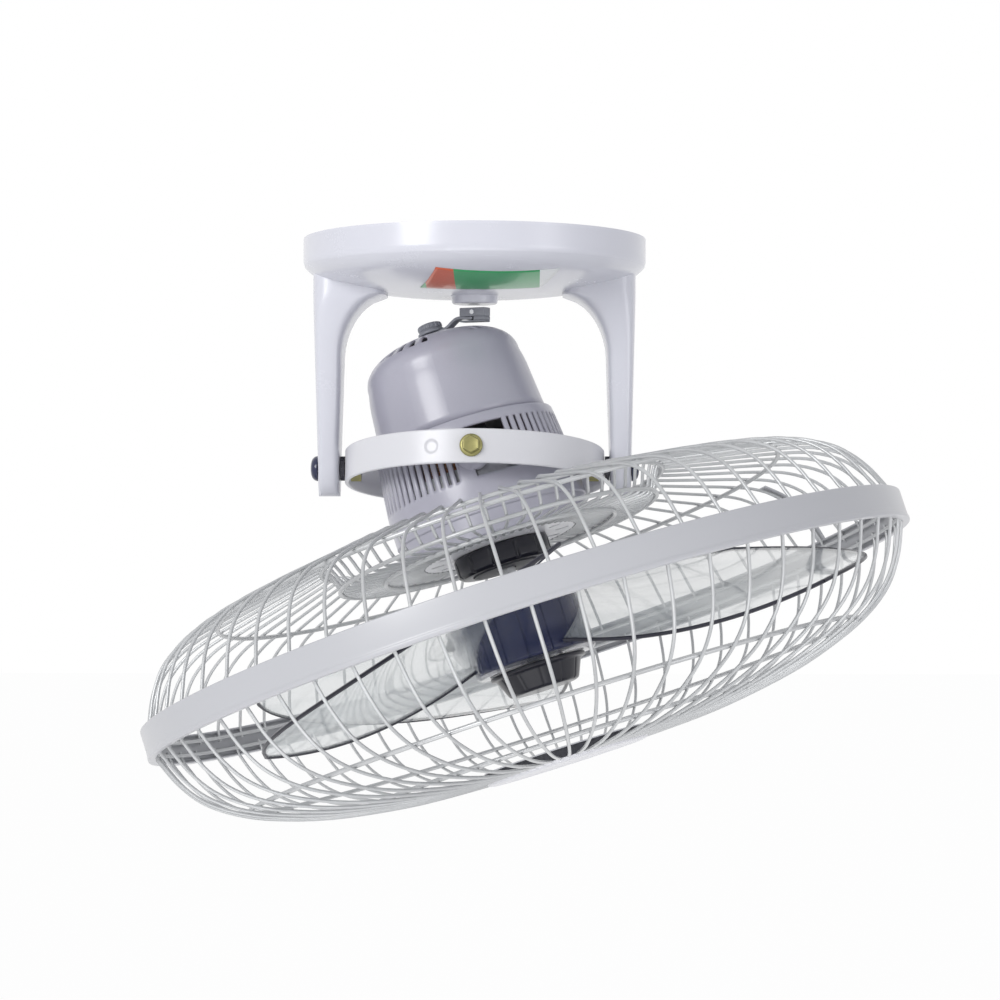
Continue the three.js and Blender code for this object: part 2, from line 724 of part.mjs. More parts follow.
function makeShaft() {
  const low = spinnerTop - spinnerHeight + 4;
  const high = rearBracketTop + 4;
  const rod = revolve([[0, low], [shaftRadius - 1, low], [shaftRadius, low + 1],
    [shaftRadius, high - 1], [shaftRadius - 1, high], [0, high]]);
  const pinHole = alongX(disc(drivePinRadius + pressGap, -through, through, 8))
    .translate(0, 0, guardPlane + drivePinHeight);
  return surface(cut(solid(rod), [pinHole]));
}

// Geared synchronous motor that turns the crank, hung by its two ears.
const orbitMotorLow = rearBracketTop + orbitMotorLift;
const orbitMotorTop = orbitMotorLow + orbitMotorHeight;
const earPlace = orbitMotorRadius + orbitMotorEar + 0.5;

function makeOrbitMotor() {
  const can = disc(orbitMotorRadius, orbitMotorLow, orbitMotorTop, facetsSmall);
  const low = orbitMotorTop - orbitBracketThickness;
  const ears = box(-earPlace - orbitMotorEar, earPlace + orbitMotorEar, -orbitMotorEar, orbitMotorEar,
    low, orbitMotorTop);
  const tools = [disc(outputRadius + runGap, orbitMotorTop - orbitShaftDepth - 1, through)];
  for (const side of [-1, 1]) {
    tools.push(disc(orbitScrewRadius + seatGap, 0, through, 8).translate(side * earPlace, 0, 0));
  }
  return surface(cut(joined([can, ears]), tools));
}

// Strap across the rear bracket with an upright under each of the motor's ears.
function makeOrbitBracket() {
  const low = rearBracketTop + seatGap;
  const high = orbitMotorTop - orbitBracketThickness - seatGap;
  const [half, wide] = [orbitBracketWidth / 2, orbitBracketThickness];
  const reach = earPlace + orbitMotorEar;
  const strap = [box(-reach, reach, -half, half, low, low + wide)];
  const tools = [disc(shaftRadius + 2, 0, through)];
  for (const side of [-1, 1]) {
    const [near, far] = [side * (orbitMotorRadius + seatGap), side * reach];
    const [x0, x1] = [Math.min(near, far), Math.max(near, far)];
    const wallEdge = side * (reach - wide);
    strap.push(box(Math.min(wallEdge, far), Math.max(wallEdge, far), -half, half, low, high));
    strap.push(box(x0, x1, -half, half, high - wide, high));
    const hole = disc(orbitScrewRadius + pressGap, low + 2 * wide, through, 8);
    tools.push(hole.translate(side * earPlace, 0, 0));
  }
  return surface(cut(joined(strap), tools));
}

function makeOrbitScrew(side) {
  const seat = orbitMotorTop + seatGap;
  const tip = orbitMotorTop - 3 * orbitBracketThickness;
  return revolve([[0, tip], [orbitScrewRadius, tip], [orbitScrewRadius, seat], [orbitScrewRadius * 1.9, seat],
    [orbitScrewRadius * 1.6, seat + 1.6], [0, seat + 1.6]], 8).translate(side * earPlace, 0, 0);
}

// ---------- crank, drawn with the block towards +X ----------
function makeOutputShaft() {
  const low = orbitMotorTop - orbitShaftDepth;
  const high = armBottom + armThickness + seatGap + knobHeight - 2;
  return revolve([[0, low], [outputRadius, low], [outputRadius, high - 1], [outputRadius - 1, high],
    [0, high]]);
}

function makeKnob() {
  const low = armBottom + armThickness + seatGap;
  const high = low + knobHeight;
  const third = knobHeight / 3;
  const bore = outputRadius + seatGap;
  return revolve([[bore, low], [knobRadius + 0.8, low], [knobRadius + 0.8, low + third * 0.8],
    [knobRadius - knobGroove, low + third * 1.2], [knobRadius, low + third * 1.6], [knobRadius, high - 0.8],
    [knobRadius - 0.8, high], [0, high], [0, high - 1.6], [bore, high - 1.6], [bore, low]], 16);
}

// Frame of the swivel block: its +Z runs up the orbit's vertical axis.
const blockMiddle = bossFace - blockBelowBoss - blockHeight / 2;
const onBlock = (geometry) => geometry.translate(0, 0, blockMiddle).rotateY(orbitTilt);
const slotHeight = armThickness + 2 * seatGap;
const slotMiddle = -blockHeight / 2 + slotHeight / 2 + 1.1;

function makeArm() {
  const tongue = (along) => new THREE.Vector3(along, 0, blockMiddle + slotMiddle)
    .applyAxisAngle(new THREE.Vector3(0, 1, 0), orbitTilt);
  const middle = armBottom + armThickness / 2;
  const path = [new THREE.Vector3(0, 0, middle), new THREE.Vector3(knobRadius + 3, 0, middle),
    tongue(-blockLength / 2 - 2.5), tongue(-blockLength / 2 + blockSlot - 0.6)];
  const half = armWidth / 2 - 1.8;
  const sections = path.map((point, i) => {
    const before = path[Math.max(i - 1, 0)];
    const after = path[Math.min(i + 1, path.length - 1)];
    const along = after.clone().sub(before).normalize();
    const up = new THREE.Vector3().crossVectors(along, new THREE.Vector3(0, 1, 0)).normalize();
    const width = i < 2 ? armWidth / 2 : half;
    return [[-width, -1], [width, -1], [width, 1], [-width, 1]].map(([y, side]) => (
      point.clone().addScaledVector(up, (side * armThickness) / 2).setY(y)));
  });
  const eye = disc(armWidth / 2 + 1.4, armBottom, armBottom + armThickness);
  const hole = disc(outputRadius + pressGap, 0, through);
  return surface(cut(joined([loft(sections), eye]), [hole]));
}

function makeBlock() {
  const [x, y, z] = [blockLength / 2, blockThickness / 2, blockHeight / 2];
  const body = box(-x, x, -y, y, -z, z);
  const tools = [
    box(-x - 1, -x + blockSlot, -y - 1, y + 1, slotMiddle - slotHeight / 2, slotMiddle + slotHeight / 2),
    alongY(disc(swivelPinRadius + pressGap, -through, through, 6)).translate(0, 0, z * 0.4),
  ];
  return onBlock(surface(cut(solid(body), tools)));
}

const makeSwivelPin = () => (
  onBlock(alongY(disc(swivelPinRadius, -blockThickness / 2 - 0.4, blockThickness / 2 + 0.4, 6))
    .translate(0, 0, (blockHeight / 2) * 0.4)));

// ---------- guards, drawn about the clamp ring's mid-plane ----------
const plateGap = seatGap + 0.2; // wire ends to the plate that they are welded to
const makeFrontGuard = () => wireGrid([
  [rimHoop[0], -rimHoop[1], true],
  [...frontBend, false],
  [...frontHoop, true],
  [...frontEasing, false],
  [frontPlateRadius + plateGap, frontPlateBottom + frontPlateDepth * 0.4, false],
], 0);

// The rear guard is drawn in four bands: side, crown, the well's wall and the well's floor.
// The crown is drawn in equal lengths, because the yoke's legs dip into the well beside it.
const makeRearSide = () => (
  wireGrid([[...rimHoop, true], [...rearBend, false], [...rearHoop, true]], rearWirePhase));

function makeRearCrown(part) {
  const wires = wireCount / crownParts;
  return wireGrid([
    [...onTheWay(rearHoop, crownHoop, hoopRadius + 2 * seatGap), false],
    [...crownHoop, true],
  ], rearWirePhase, part * wires, wires);
}

const makeRearWell = () => wireGrid([
  [...onTheWay(crownHoop, wellHoop, wireRadius + 3 * seatGap), false],
  [...wellHoop, true],
], rearWirePhase);

function makeRearFloor() {
  const floor = rearPlateTop - wireRadius - guardPlane;
  return wireGrid([
    [wellHoop[0] - hoopRadius - 2 * seatGap, floor, false],
    [floorHoopRadius, floor, true],
    [rearPlateRadius + plateGap, floor, false],
  ], rearWirePhase);
}

// Flat strap along the outside of the rear guard's rim.
function makeStrap() {
  const lift = wireRadius + seatGap + strapThickness / 2;
  const [rim, bend, side] = [rimHoop, rearBend, rearHoop].map(([r, z]) => new THREE.Vector2(r, z));
  const path = [rim.clone().lerp(bend, 0.3), bend, bend.clone().lerp(side, 0.45)];
  const points = path.map(({ x, y }) => new THREE.Vector3(x, 0, y));
  const sections = points.map((point, i) => {
    const before = points[Math.max(i - 1, 0)];
    const after = points[Math.min(i + 1, points.length - 1)];
    const along = after.clone().sub(before).normalize();
    const out = new THREE.Vector3(along.z, 0, -along.x);
    const half = strapWidth / 2;
    return [[-half, -1], [half, -1], [half, 1], [-half, 1]].map(([y, side]) => (
      point.clone().addScaledVector(out, lift + (side * strapThickness) / 2).setY(y)));
  });
  return loft(sections).rotateZ(rad(strapAzimuth));
}

// Split channel ring that holds both guards together.
function makeClampRing() {
  const half = clampHeight / 2;
  const inner = clampRadius - clampWall;
  const lip = clampRadius - clampLip;
  const channel = [[clampRadius, half], [clampRadius, -half + 2 * clampBead],
    [clampRadius + 0.6, -half + clampBead], [clampRadius, -half], [lip, -half],
    [inner, -half + clampWall], [inner, half - clampWall], [lip, half], [clampRadius, half]];
  const turned = solid(revolve(channel, facetsLarge));
  const gap = box(-clampSplit / 2, clampSplit / 2, 0, through, -half - 1, half + 1);
  const ears = [];
  for (const side of [-1, 1]) {
    const near = side * (clampSplit / 2);
    const far = side * (clampSplit / 2 + clampEarThickness);
    ears.push(box(Math.min(near, far), Math.max(near, far), clampRadius - 1, clampRadius + clampEarLength,
      -half + 3, half - 3));
  }
  const screwHole = alongX(disc(clampScrewRadius + seatGap, -through, through, 8))
    .translate(0, clampRadius + clampEarLength * 0.6, 0);
  const split = turned.subtract(solid(gap));
  return surface(ears.map(solid).reduce((whole, ear) => whole.add(ear), split).subtract(solid(screwHole)));
}

function makeClampScrew() {
  const seat = clampSplit / 2 + clampEarThickness + seatGap;
  const screw = revolve([[0, -seat - 5], [clampScrewRadius, -seat - 5], [clampScrewRadius, seat],
    [clampScrewRadius * 2, seat], [clampScrewRadius * 2, seat + 1], [clampScrewRadius, seat + 2.4],
    [0, seat + 2.6]], 8);
  return alongX(screw).translate(0, clampRadius + clampEarLength * 0.6, 0);
}

function makeClampNut() {
  const seat = clampSplit / 2 + clampEarThickness + seatGap;
  return alongX(makeNut(clampNutFlats, clampScrewRadius + pressGap, -seat - 3, -seat))
    .translate(0, clampRadius + clampEarLength * 0.6, 0);
}

function makeRearPlate() {
  const low = rearPlateTop - rearPlateThickness;
  const bore = noseRadius + seatGap;
  const plate = revolve([[bore, low], [rearPlateRadius, low], [rearPlateRadius, rearPlateTop],
    [bore, rearPlateTop], [bore, low]], facetsSmall);
  const slots = [];
  for (let i = 0; i < rearPlateSlots; i++) {
    const slot = box(rearPlateRadius - 12, rearPlateRadius - 4, -1.6, 1.6, low - 2, rearPlateTop + 2);
    slots.push(slot.rotateZ((i / rearPlateSlots) * Math.PI * 2));
  }
  return surface(cut(solid(plate), slots));
}

function makeLockNut() {
  const low = lockNutTop - lockNutHeight;
  const bore = noseRadius + seatGap;
  const body = revolve([[bore, low], [lockNutRadius - 2, low], [lockNutRadius, low + 2],
    [lockNutRadius, lockNutTop], [bore, lockNutTop], [bore, low]], facetsSmall);
  const grips = [];
  for (let i = 0; i < lockNutGrips; i++) {
    const notch = disc(1.6, low - 1, lockNutTop - 2.5, 4).translate(lockNutRadius + 0.6, 0, 0);
    grips.push(notch.rotateZ(((i + 0.5) / lockNutGrips) * Math.PI * 2));
  }
  return surface(cut(solid(body), grips));
}

function makeFrontPlate() {
  const [r, wall, low] = [frontPlateRadius, frontPlateWall, frontPlateBottom];
  const high = low + frontPlateDepth;
  return revolve([[0, low + 1], [r - 3, low], [r, low + 1.6], [r, high], [r - wall, high],
    [r - wall, low + 2.2], [r - 3.4, low + wall], [0, low + 1 + wall]], facetsMiddle);
}

// ---------- fan, drawn about the clamp ring's mid-plane ----------
// Leading and trailing edges: azimuth in degrees and height, over the share of the span.
const leadingAzimuth = (t) => -64 + 33 * Math.sqrt(t);
const leadingHeight = (t) => -13 - 62 * t + 48 * t * t;
const trailingAzimuth = (t) => 30 + 4 * t;
const trailingHeight = (t) => 24 - 3.5 * t;

function bladeSection(share) {
  const steps = 6;
  const point = (s, side) => {
    const corner = bladeCornerRound * Math.abs(2 * s - 1) ** 5;
    const root = hubRadius - hubWall / 2;
    const r = root + share * (bladeTip - corner * share ** 4 - root);
    const t = (r - root) / (bladeTip - root);
    const azimuth = rad(THREE.MathUtils.lerp(leadingAzimuth(t), trailingAzimuth(t), s));
    const camber = -7 * t * (1 - (2 * s - 1) ** 2);
    const height = THREE.MathUtils.lerp(leadingHeight(t), trailingHeight(t), s) + camber;
    const thin = (bladeThickness / 2) * (1 - 0.35 * t);
    return new THREE.Vector3(r * Math.cos(azimuth), r * Math.sin(azimuth), height + side * thin);
  };
  const shares = Array.from({ length: steps + 1 }, (_, i) => i / steps);
  return [...shares.map((s) => point(s, -1)), ...shares.reverse().map((s) => point(s, 1))];
}

function makeBlades() {
  const wall = hubWall;
  const shell = revolve([[hubRadius - wall, hubTop], [hubRadius - wall, hubBottom + wall],
    [shaftRadius + 4, hubBottom + wall], [shaftRadius + 4, hubBottom], [hubRadius - 1, hubBottom],
    [hubRadius, hubBottom + 1], [hubRadius, hubTop], [hubRadius - wall, hubTop]], facetsSmall);
  let fan = solid(shell);
  const spans = [0, 0.22, 0.46, 0.7, 0.9, 1];
  for (let i = 0; i < bladeCount; i++) {
    const blade = loft(spans.map(bladeSection));
    fan = fan.add(solid(blade.rotateZ(rad(bladeAzimuth) + (i / bladeCount) * Math.PI * 2)));
  }
  const bore = disc(hubRadius - wall, hubBottom + wall, hubTop + 20, facetsSmall);
  return surface(fan.subtract(solid(bore)));
}

function makeHubCore() {
  const outer = hubRadius - hubWall - seatGap;
  const low = hubBottom + hubWall + seatGap;
  const high = hubTop - 3;
  const bore = shaftRadius + pressGap;
  const sleeve = drivePinReach + 1;
  const core = revolve([[bore, low], [outer, low], [outer, high], [outer - coreWall, high],
    [outer - coreWall, low + coreWall], [sleeve, low + coreWall], [sleeve, high], [bore, high], [bore, low]],
    facetsSmall);
  const pinSlot = box(-sleeve - 1, sleeve + 1, -drivePinRadius - seatGap, drivePinRadius + seatGap,
    drivePinHeight - drivePinRadius - seatGap, hubTop + 5);
  return surface(cut(solid(core), [pinSlot]));
}

const makeDrivePin = () => (
  alongX(disc(drivePinRadius, -drivePinReach, drivePinReach, 8)).translate(0, 0, drivePinHeight));

function makeSpinner() {
  const high = hubBottom - seatGap;
  const low = high - spinnerHeight;
  const bore = shaftRadius + pressGap;
  const well = low + 3.4;
  return revolve([[0, low], [spinnerEnd - 1.5, low], [spinnerEnd, low + 1],
    [spinnerRadius, high - spinnerFlangeThickness - 0.6], [spinnerFlange, high - spinnerFlangeThickness],
    [spinnerFlange, high], [bore, high], [bore, well], [0, well]], facetsSmall);
}

// ---------- assembly ----------
const fan = new THREE.Group();
const gimbal = new THREE.Group();
const head = new THREE.Group();
const crank = new THREE.Group();
const guards = new THREE.Group();

gimbal.position.z = -pivotDrop;
gimbal.rotation.x = -rad(ringTilt);
head.rotation.y = -rad(headTilt);
crank.rotation.z = crankAzimuth;
guards.position.z = guardPlane;
fan.add(gimbal);
gimbal.add(head);
head.add(crank, guards);

function add(parent, name, geometry, material, turn = 0) {
  const mesh = new THREE.Mesh(geometry.index ? closed(geometry) : closed(mergeVertices(geometry)), material);
  mesh.name = name;
  mesh.rotation.z = turn;
  parent.add(mesh);
  return mesh;
}

add(fan, 'ceiling_plate', makeCeilingPlate(), steel);
add(fan, 'yoke_housing', makeYoke(), white);
add(fan, 'canopy_screw_left', makeTabScrew(1), steel);
add(fan, 'canopy_screw_right', makeTabScrew(-1), steel);
add(fan, 'terminal_block', makeTerminalBlock(), nylon);
add(fan, 'capacitor', makeCapacitor(), darkGrey);
add(fan, 'swivel_stud', makeSwivelStud(), steel);
add(fan, 'swivel_stud_nut',
  makeNut(studNutFlats, studRadius + pressGap, -bowlDepth + canopyWall + seatGap,
    -bowlDepth + canopyWall + seatGap + studNutHeight), steel);

for (const [side, turn] of [['right', 0], ['left', Math.PI]]) {
  const parts = [['bolt', navy], ['bush', black], ['nut', brass]];
  for (const [part, material] of parts) {
    add(fan, `leg_pivot_${part}_${side}`, legPivot[part](), material, turn).position.z = -pivotDrop;
  }
}

add(gimbal, 'gimbal_ring', makeGimbalRing(), ringWhite);

for (const [side, sign] of [['front', 1], ['back', -1]]) {
  const turned = (geometry) => geometry.rotateX((sign * Math.PI) / 2);
  add(head, `head_pivot_screw_${side}`, turned(makeHeadScrew()), brass);
  add(head, `head_pivot_washer_${side}`, turned(headScrewWasher()), nylon);
}

add(head, 'motor_housing', makeHousing(), lavender);
add(head, 'rear_cover', makeCover(), lavender);
add(head, 'front_shield', makeFrontShield(), darkGrey);
add(head, 'rear_bracket', makeRearBracket(), darkGrey);
add(head, 'bearing_front', makeBearing(housingBottom + shieldThickness - bearingLength), steel);
add(head, 'bearing_rear', makeBearing(rearBracketTop - bracketThickness - 5), steel);
add(head, 'stator_core', makeStator(), steel);
add(head, 'stator_coil_rear', makeCoil(stackTop + seatGap), copper);
add(head, 'stator_coil_front', makeCoil(0).scale(1, 1, -1).translate(0, 0, stackBottom - seatGap), copper);
add(head, 'orbit_motor', makeOrbitMotor(), steel);
add(head, 'orbit_motor_bracket', makeOrbitBracket(), steel);
add(head, 'orbit_motor_screw_left', makeOrbitScrew(-1), steel);
add(head, 'orbit_motor_screw_right', makeOrbitScrew(1), steel);

add(head, 'motor_shaft', makeShaft(), steel);
add(head, 'rotor_core', ring(shaftRadius + pressGap, rotorRadius, stackBottom, stackTop, facetsSmall), steel);

add(crank, 'output_shaft', makeOutputShaft(), steel);
add(crank, 'crank_arm', makeArm(), crankGrey);
add(crank, 'crank_knob', makeKnob(), crankGrey);
add(crank, 'swivel_block', makeBlock(), crankGrey);
add(crank, 'swivel_pin', makeSwivelPin(), steel);

add(head, 'rear_guard_plate', makeRearPlate(), ringWhite);
add(head, 'guard_lock_nut', makeLockNut(), black);
add(guards, 'rear_guard', makeRearSide(), wireGrey);
for (let part = 0; part < crownParts; part++) {
  add(guards, `rear_guard_crown_${part + 1}`, makeRearCrown(part), wireGrey);
}
add(guards, 'rear_guard_well', makeRearWell(), wireGrey);
add(guards, 'rear_guard_floor', makeRearFloor(), wireGrey);
add(guards, 'rear_guard_strap', makeStrap(), clampGrey);
add(guards, 'front_guard', makeFrontGuard(), wireGrey);
add(guards, 'front_plate', makeFrontPlate(), darkGrey);
add(guards, 'clamp_ring', makeClampRing(), clampGrey);
add(guards, 'clamp_screw', makeClampScrew(), steel);
add(guards, 'clamp_nut', makeClampNut(), steel);

add(guards, 'fan_blades', makeBlades(), clear);
add(guards, 'hub_core', makeHubCore(), navy);
add(guards, 'drive_pin', makeDrivePin(), steel);
add(guards, 'spinner', makeSpinner(), black);

export default fan;
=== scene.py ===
"""Orbital ceiling fan, dressed over its CAD frame. Sizes in the property groups are metres and radians."""
import json
import math

import bmesh
import bpy
from mathutils import Matrix, Vector

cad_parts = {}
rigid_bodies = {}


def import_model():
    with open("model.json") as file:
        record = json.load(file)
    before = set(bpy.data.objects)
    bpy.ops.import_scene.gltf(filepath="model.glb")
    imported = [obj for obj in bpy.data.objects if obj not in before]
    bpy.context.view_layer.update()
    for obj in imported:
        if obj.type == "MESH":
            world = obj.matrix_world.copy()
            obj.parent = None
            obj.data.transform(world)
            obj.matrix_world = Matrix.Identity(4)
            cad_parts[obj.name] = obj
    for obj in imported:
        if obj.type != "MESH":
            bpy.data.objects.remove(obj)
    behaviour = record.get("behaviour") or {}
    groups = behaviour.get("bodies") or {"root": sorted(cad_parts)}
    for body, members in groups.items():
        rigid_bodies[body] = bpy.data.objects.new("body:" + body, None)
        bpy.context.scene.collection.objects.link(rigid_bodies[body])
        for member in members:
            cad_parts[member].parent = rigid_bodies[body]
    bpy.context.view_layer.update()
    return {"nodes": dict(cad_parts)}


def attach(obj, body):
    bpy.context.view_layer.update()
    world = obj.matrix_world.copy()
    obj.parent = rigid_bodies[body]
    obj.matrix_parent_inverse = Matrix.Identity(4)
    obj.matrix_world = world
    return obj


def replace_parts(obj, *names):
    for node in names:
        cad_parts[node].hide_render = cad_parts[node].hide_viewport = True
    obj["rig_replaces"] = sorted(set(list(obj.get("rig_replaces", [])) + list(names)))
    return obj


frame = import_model()

bl_info = {
    "name": "Orbital Ceiling Fan",
    "version": (1, 0, 0),
    "blender": (4, 5, 0),
    "location": "View3D > Sidebar > Fan",
    "description": "Dresses the orbital ceiling fan's frame with its visible pieces, finishes and stage",
    "category": "Object",
}

MM = 0.001


# ---------- sizes and colours that a user would change ----------
def length(name, description, default):
    return bpy.props.FloatProperty(name=name, description=description, default=default, unit="LENGTH")


def angle(name, description, degrees):
    return bpy.props.FloatProperty(name=name, description=description, default=math.radians(degrees),
                                   subtype="ANGLE")


def paint(name, description, default):
    return bpy.props.FloatVectorProperty(name=name, description=description, default=default,
                                         subtype="COLOR", size=3, min=0, max=1)


class FanSizes(bpy.types.PropertyGroup):
    """Sizes of the fan's visible pieces."""
    pivot_drop: length("Pivot drop", "Ceiling to both tilt axes", 0.1335)
    ring_tilt: angle("Ring tilt", "Gimbal ring about the left-right axis", 9.6)
    head_tilt: angle("Head tilt", "Head in the gimbal ring", 17.7)
    guard_drop: length("Guard drop", "Tilt axes to the clamp ring's mid-plane", 0.101)
    canopy_radius: length("Canopy radius", "Outside radius of the canopy", 0.1)
    rim_height: length("Rim height", "Height of the canopy's upright rim", 0.0152)
    bowl_depth: length("Bowl depth", "Ceiling to the underside of the bowl", 0.0325)
    leg_inner: length("Leg inner face", "Inner face of each leg at the pivot", 0.079)
    leg_thickness: length("Leg thickness", "Thickness of each leg at the pivot", 0.0126)
    ring_radius: length("Ring radius", "Outside radius of the gimbal ring", 0.076)
    ring_height: length("Ring height", "Height of the gimbal ring", 0.0193)
    housing_radius: length("Housing radius", "Largest radius of the motor housing", 0.0576)
    cover_crown: length("Cover crown", "Tilt axes to the top of the rear cover", 0.0818)
    clamp_radius: length("Clamp radius", "Outside radius of the clamp ring", 0.2275)
    clamp_height: length("Clamp height", "Height of the clamp ring", 0.0176)
    wire_radius: length("Wire radius", "Radius of the guard wires", 0.00098)
    hoop_radius: length("Hoop radius", "Radius of the guard hoops", 0.0013)
    blade_tip: length("Blade tip", "Radius of the blades' tip circle", 0.198)
    hub_radius: length("Hub radius", "Outside radius of the fan's hub", 0.036)
    wire_count: bpy.props.IntProperty(name="Wires", description="Wires in each guard", default=60, min=12)


class FanColours(bpy.types.PropertyGroup):
    """Colours of the fan's finishes."""
    gloss_white: paint("Gloss white", "Canopy and legs", (0.68, 0.685, 0.74))
    ring_white: paint("Ring white", "Gimbal ring and guard plates", (0.74, 0.74, 0.765))
    lavender: paint("Lavender enamel", "Motor housing and rear cover", (0.42, 0.415, 0.48))
    clamp_grey: paint("Clamp grey", "Clamp ring", (0.5, 0.505, 0.525))
    wire_grey: paint("Wire grey", "Guard wires", (0.55, 0.56, 0.565))
    clear_tint: paint("Clear tint", "Clear blade moulding", (0.56, 0.6, 0.6))
    navy: paint("Navy", "Hub and bolt caps", (0.016, 0.02, 0.062))
    black: paint("Black", "Spinner and lock nut", (0.013, 0.013, 0.02))
    crank_grey: paint("Crank grey", "Crank, knob and swivel block", (0.3, 0.31, 0.34))
    brass: paint("Brass", "Pivot screws", (0.3, 0.28, 0.12))


# ---------- shader expressions ----------
# Sockets of a Mix node that takes colours: factor, both colours, and the result.
MIX_COLOUR_INPUTS = (0, 6, 7)
MIX_COLOUR_OUTPUT = 2


class Value:
    """Socket in a shader expression. Sums and products of values add Math nodes."""

    def __init__(self, finish, socket):
        self.finish = finish
        self.socket = socket

    def combined(self, operation, first, second):
        return self.finish.node("ShaderNodeMath", {"operation": operation}, {0: first, 1: second})

    def __add__(self, other):
        return self.combined("ADD", self, other)

    def __radd__(self, other):
        return self.combined("ADD", other, self)

    def __rsub__(self, other):
        return self.combined("SUBTRACT", other, self)

    def __mul__(self, other):
        return self.combined("MULTIPLY", self, other)


class Shading:
    """Node tree of a material or a world, which expressions add nodes to."""

    def __init__(self, owner):
        owner.use_nodes = True
        self.tree = owner.node_tree

    def put(self, socket, value):
        if isinstance(value, Value):
            self.tree.links.new(value.socket, socket)
        else:
            socket.default_value = value

    def node(self, kind, settings=None, values=None, output=0):
        made = self.tree.nodes.new(kind)
        for key, value in (settings or {}).items():
            if key == "stops":
                for stop, (position, colour) in zip(made.color_ramp.elements, value):
                    stop.position, stop.color = position, colour
            else:
                setattr(made, key, value)
        for socket, value in (values or {}).items():
            self.put(made.inputs[socket], value)
        return Value(self, made.outputs[output])

    def mixed(self, factor, first, second, output):
        """Feeds an output node from two shaders by a factor."""
        mixer = self.tree.nodes.new("ShaderNodeMixShader")
        self.put(mixer.inputs[0], factor)
        self.tree.links.new(first.outputs[0], mixer.inputs[1])
        self.tree.links.new(second.outputs[0], mixer.inputs[2])
        self.tree.links.new(mixer.outputs[0], self.tree.nodes[output].inputs[0])


class Finish(Shading):
    """Procedural material built from expressions round its Principled shader."""

    def __init__(self, name, **constants):
        self.material = bpy.data.materials.new(name)
        super().__init__(self.material)
        self.shader = self.tree.nodes["Principled BSDF"]
        for socket, value in constants.items():
            self.shader.inputs[socket.replace("_", " ")].default_value = value

    def place(self):
        return self.node("ShaderNodeTexCoord", output="Object")

    def noise(self, scale, detail=3.0, stretch=(1, 1, 1)):
        place = self.node("ShaderNodeMapping", {}, {"Vector": self.place(), "Scale": stretch})
        return self.node("ShaderNodeTexNoise", {}, {"Vector": place, "Scale": scale, "Detail": detail})

    def ramp(self, value, low, high):
        stops = [(low, (0, 0, 0, 1)), (high, (1, 1, 1, 1))]
        return self.node("ShaderNodeValToRGB", {"stops": stops}, {"Fac": value})

    def blend(self, factor, first, second):
        mix = self.tree.nodes.new("ShaderNodeMix")
        mix.data_type = "RGBA"
        for socket, value in zip(MIX_COLOUR_INPUTS, (factor, first, second)):
            self.put(mix.inputs[socket], value)
        return Value(self, mix.outputs[MIX_COLOUR_OUTPUT])

    def bump(self, height, strength, distance):
        return self.node("ShaderNodeBump", {}, {"Height": height, "Strength": strength, "Distance": distance})

    def wear(self):
        """Edge mask from the surface's pointiness."""
        pointed = self.node("ShaderNodeNewGeometry", output="Pointiness")
        return self.ramp(pointed, 0.52, 0.62)

    def set(self, **sockets):
        for socket, value in sockets.items():
            self.put(self.shader.inputs[socket.replace("_", " ")], value)
        return self.material


def shade(colour, factor):
    return tuple(min(1.0, c * factor) for c in colour[:3]) + (1.0,)


def enamel(name, colour, roughness, coat, peel_scale=260, peel=0.05):
    """Sprayed or moulded gloss: faint orange peel, slow tone drift, dull patches and rubbed edges."""
    f = Finish(name, Coat_Roughness=0.2, IOR=1.47)
    drift = f.noise(9, 2)
    dust = f.noise(900, 4)
    tone = f.blend(drift, shade(colour, 0.95), shade(colour, 1.04))
    tone = f.blend(f.ramp(dust, 0.62, 0.75) * 0.12, tone, shade(colour, 0.72))
    tone = f.blend(f.wear() * 0.25, tone, shade(colour, 1.2))
    rough = roughness + f.noise(38, 4) * 0.1 + dust * 0.05
    return f.set(Base_Color=tone, Roughness=rough, Coat_Weight=coat - drift * 0.12,
                 Normal=f.bump(f.noise(peel_scale, 2), peel, 0.0006))


def wire_coat(name, colour):
    """Powder-coated wire with thinner, darker patches where the coat ran."""
    f = Finish(name, Coat_Roughness=0.15)
    patches = f.noise(55, 3)
    tone = f.blend(patches, shade(colour, 0.82), shade(colour, 1.12))
    return f.set(Base_Color=tone, Roughness=0.24 + patches * 0.2, Metallic=0.25 + patches * 0.15,
                 Coat_Weight=0.5 - patches * 0.2, Normal=f.bump(f.noise(1400, 3), 0.12, 0.0003))


def clear_moulding(name, colour):
    """Clear moulded plastic: mostly see-through, with flow streaks and glossy grazing light."""
    f = Finish(name, Coat_Roughness=0.03, IOR=1.5, Coat_IOR=1.5)
    graze = f.node("ShaderNodeLayerWeight", {}, {"Blend": 0.32}, "Facing")
    streaks = f.noise(7, 3, (1, 3.2, 1))
    alpha = 0.15 + graze * graze * 0.62 + f.ramp(streaks, 0.5, 0.72) * 0.22
    tone = f.blend(streaks, shade(colour, 0.8), shade(colour, 1.35))
    return f.set(Base_Color=tone, Roughness=0.05 + streaks * 0.06, Coat_Weight=0.8 + streaks * 0.2,
                 Alpha=alpha, Normal=f.bump(f.noise(24, 2), 0.12, 0.002))


def dark_moulding(name, colour, roughness, coat):
    """Dark moulded plastic with fine spark grain and paler rubbed edges."""
    f = Finish(name, Coat_Roughness=0.12, Specular_IOR_Level=0.25)
    grain = f.noise(1900, 2)
    smear = f.noise(30, 3)
    tone = f.blend(smear, shade(colour, 0.75), shade(colour, 1.5))
    tone = f.blend(f.wear() * 0.35, tone, shade(colour, 4.0))
    return f.set(Base_Color=tone, Roughness=roughness + smear * 0.14, Coat_Weight=coat + smear * 0.15,
                 Normal=f.bump(grain, 0.1, 0.0003))


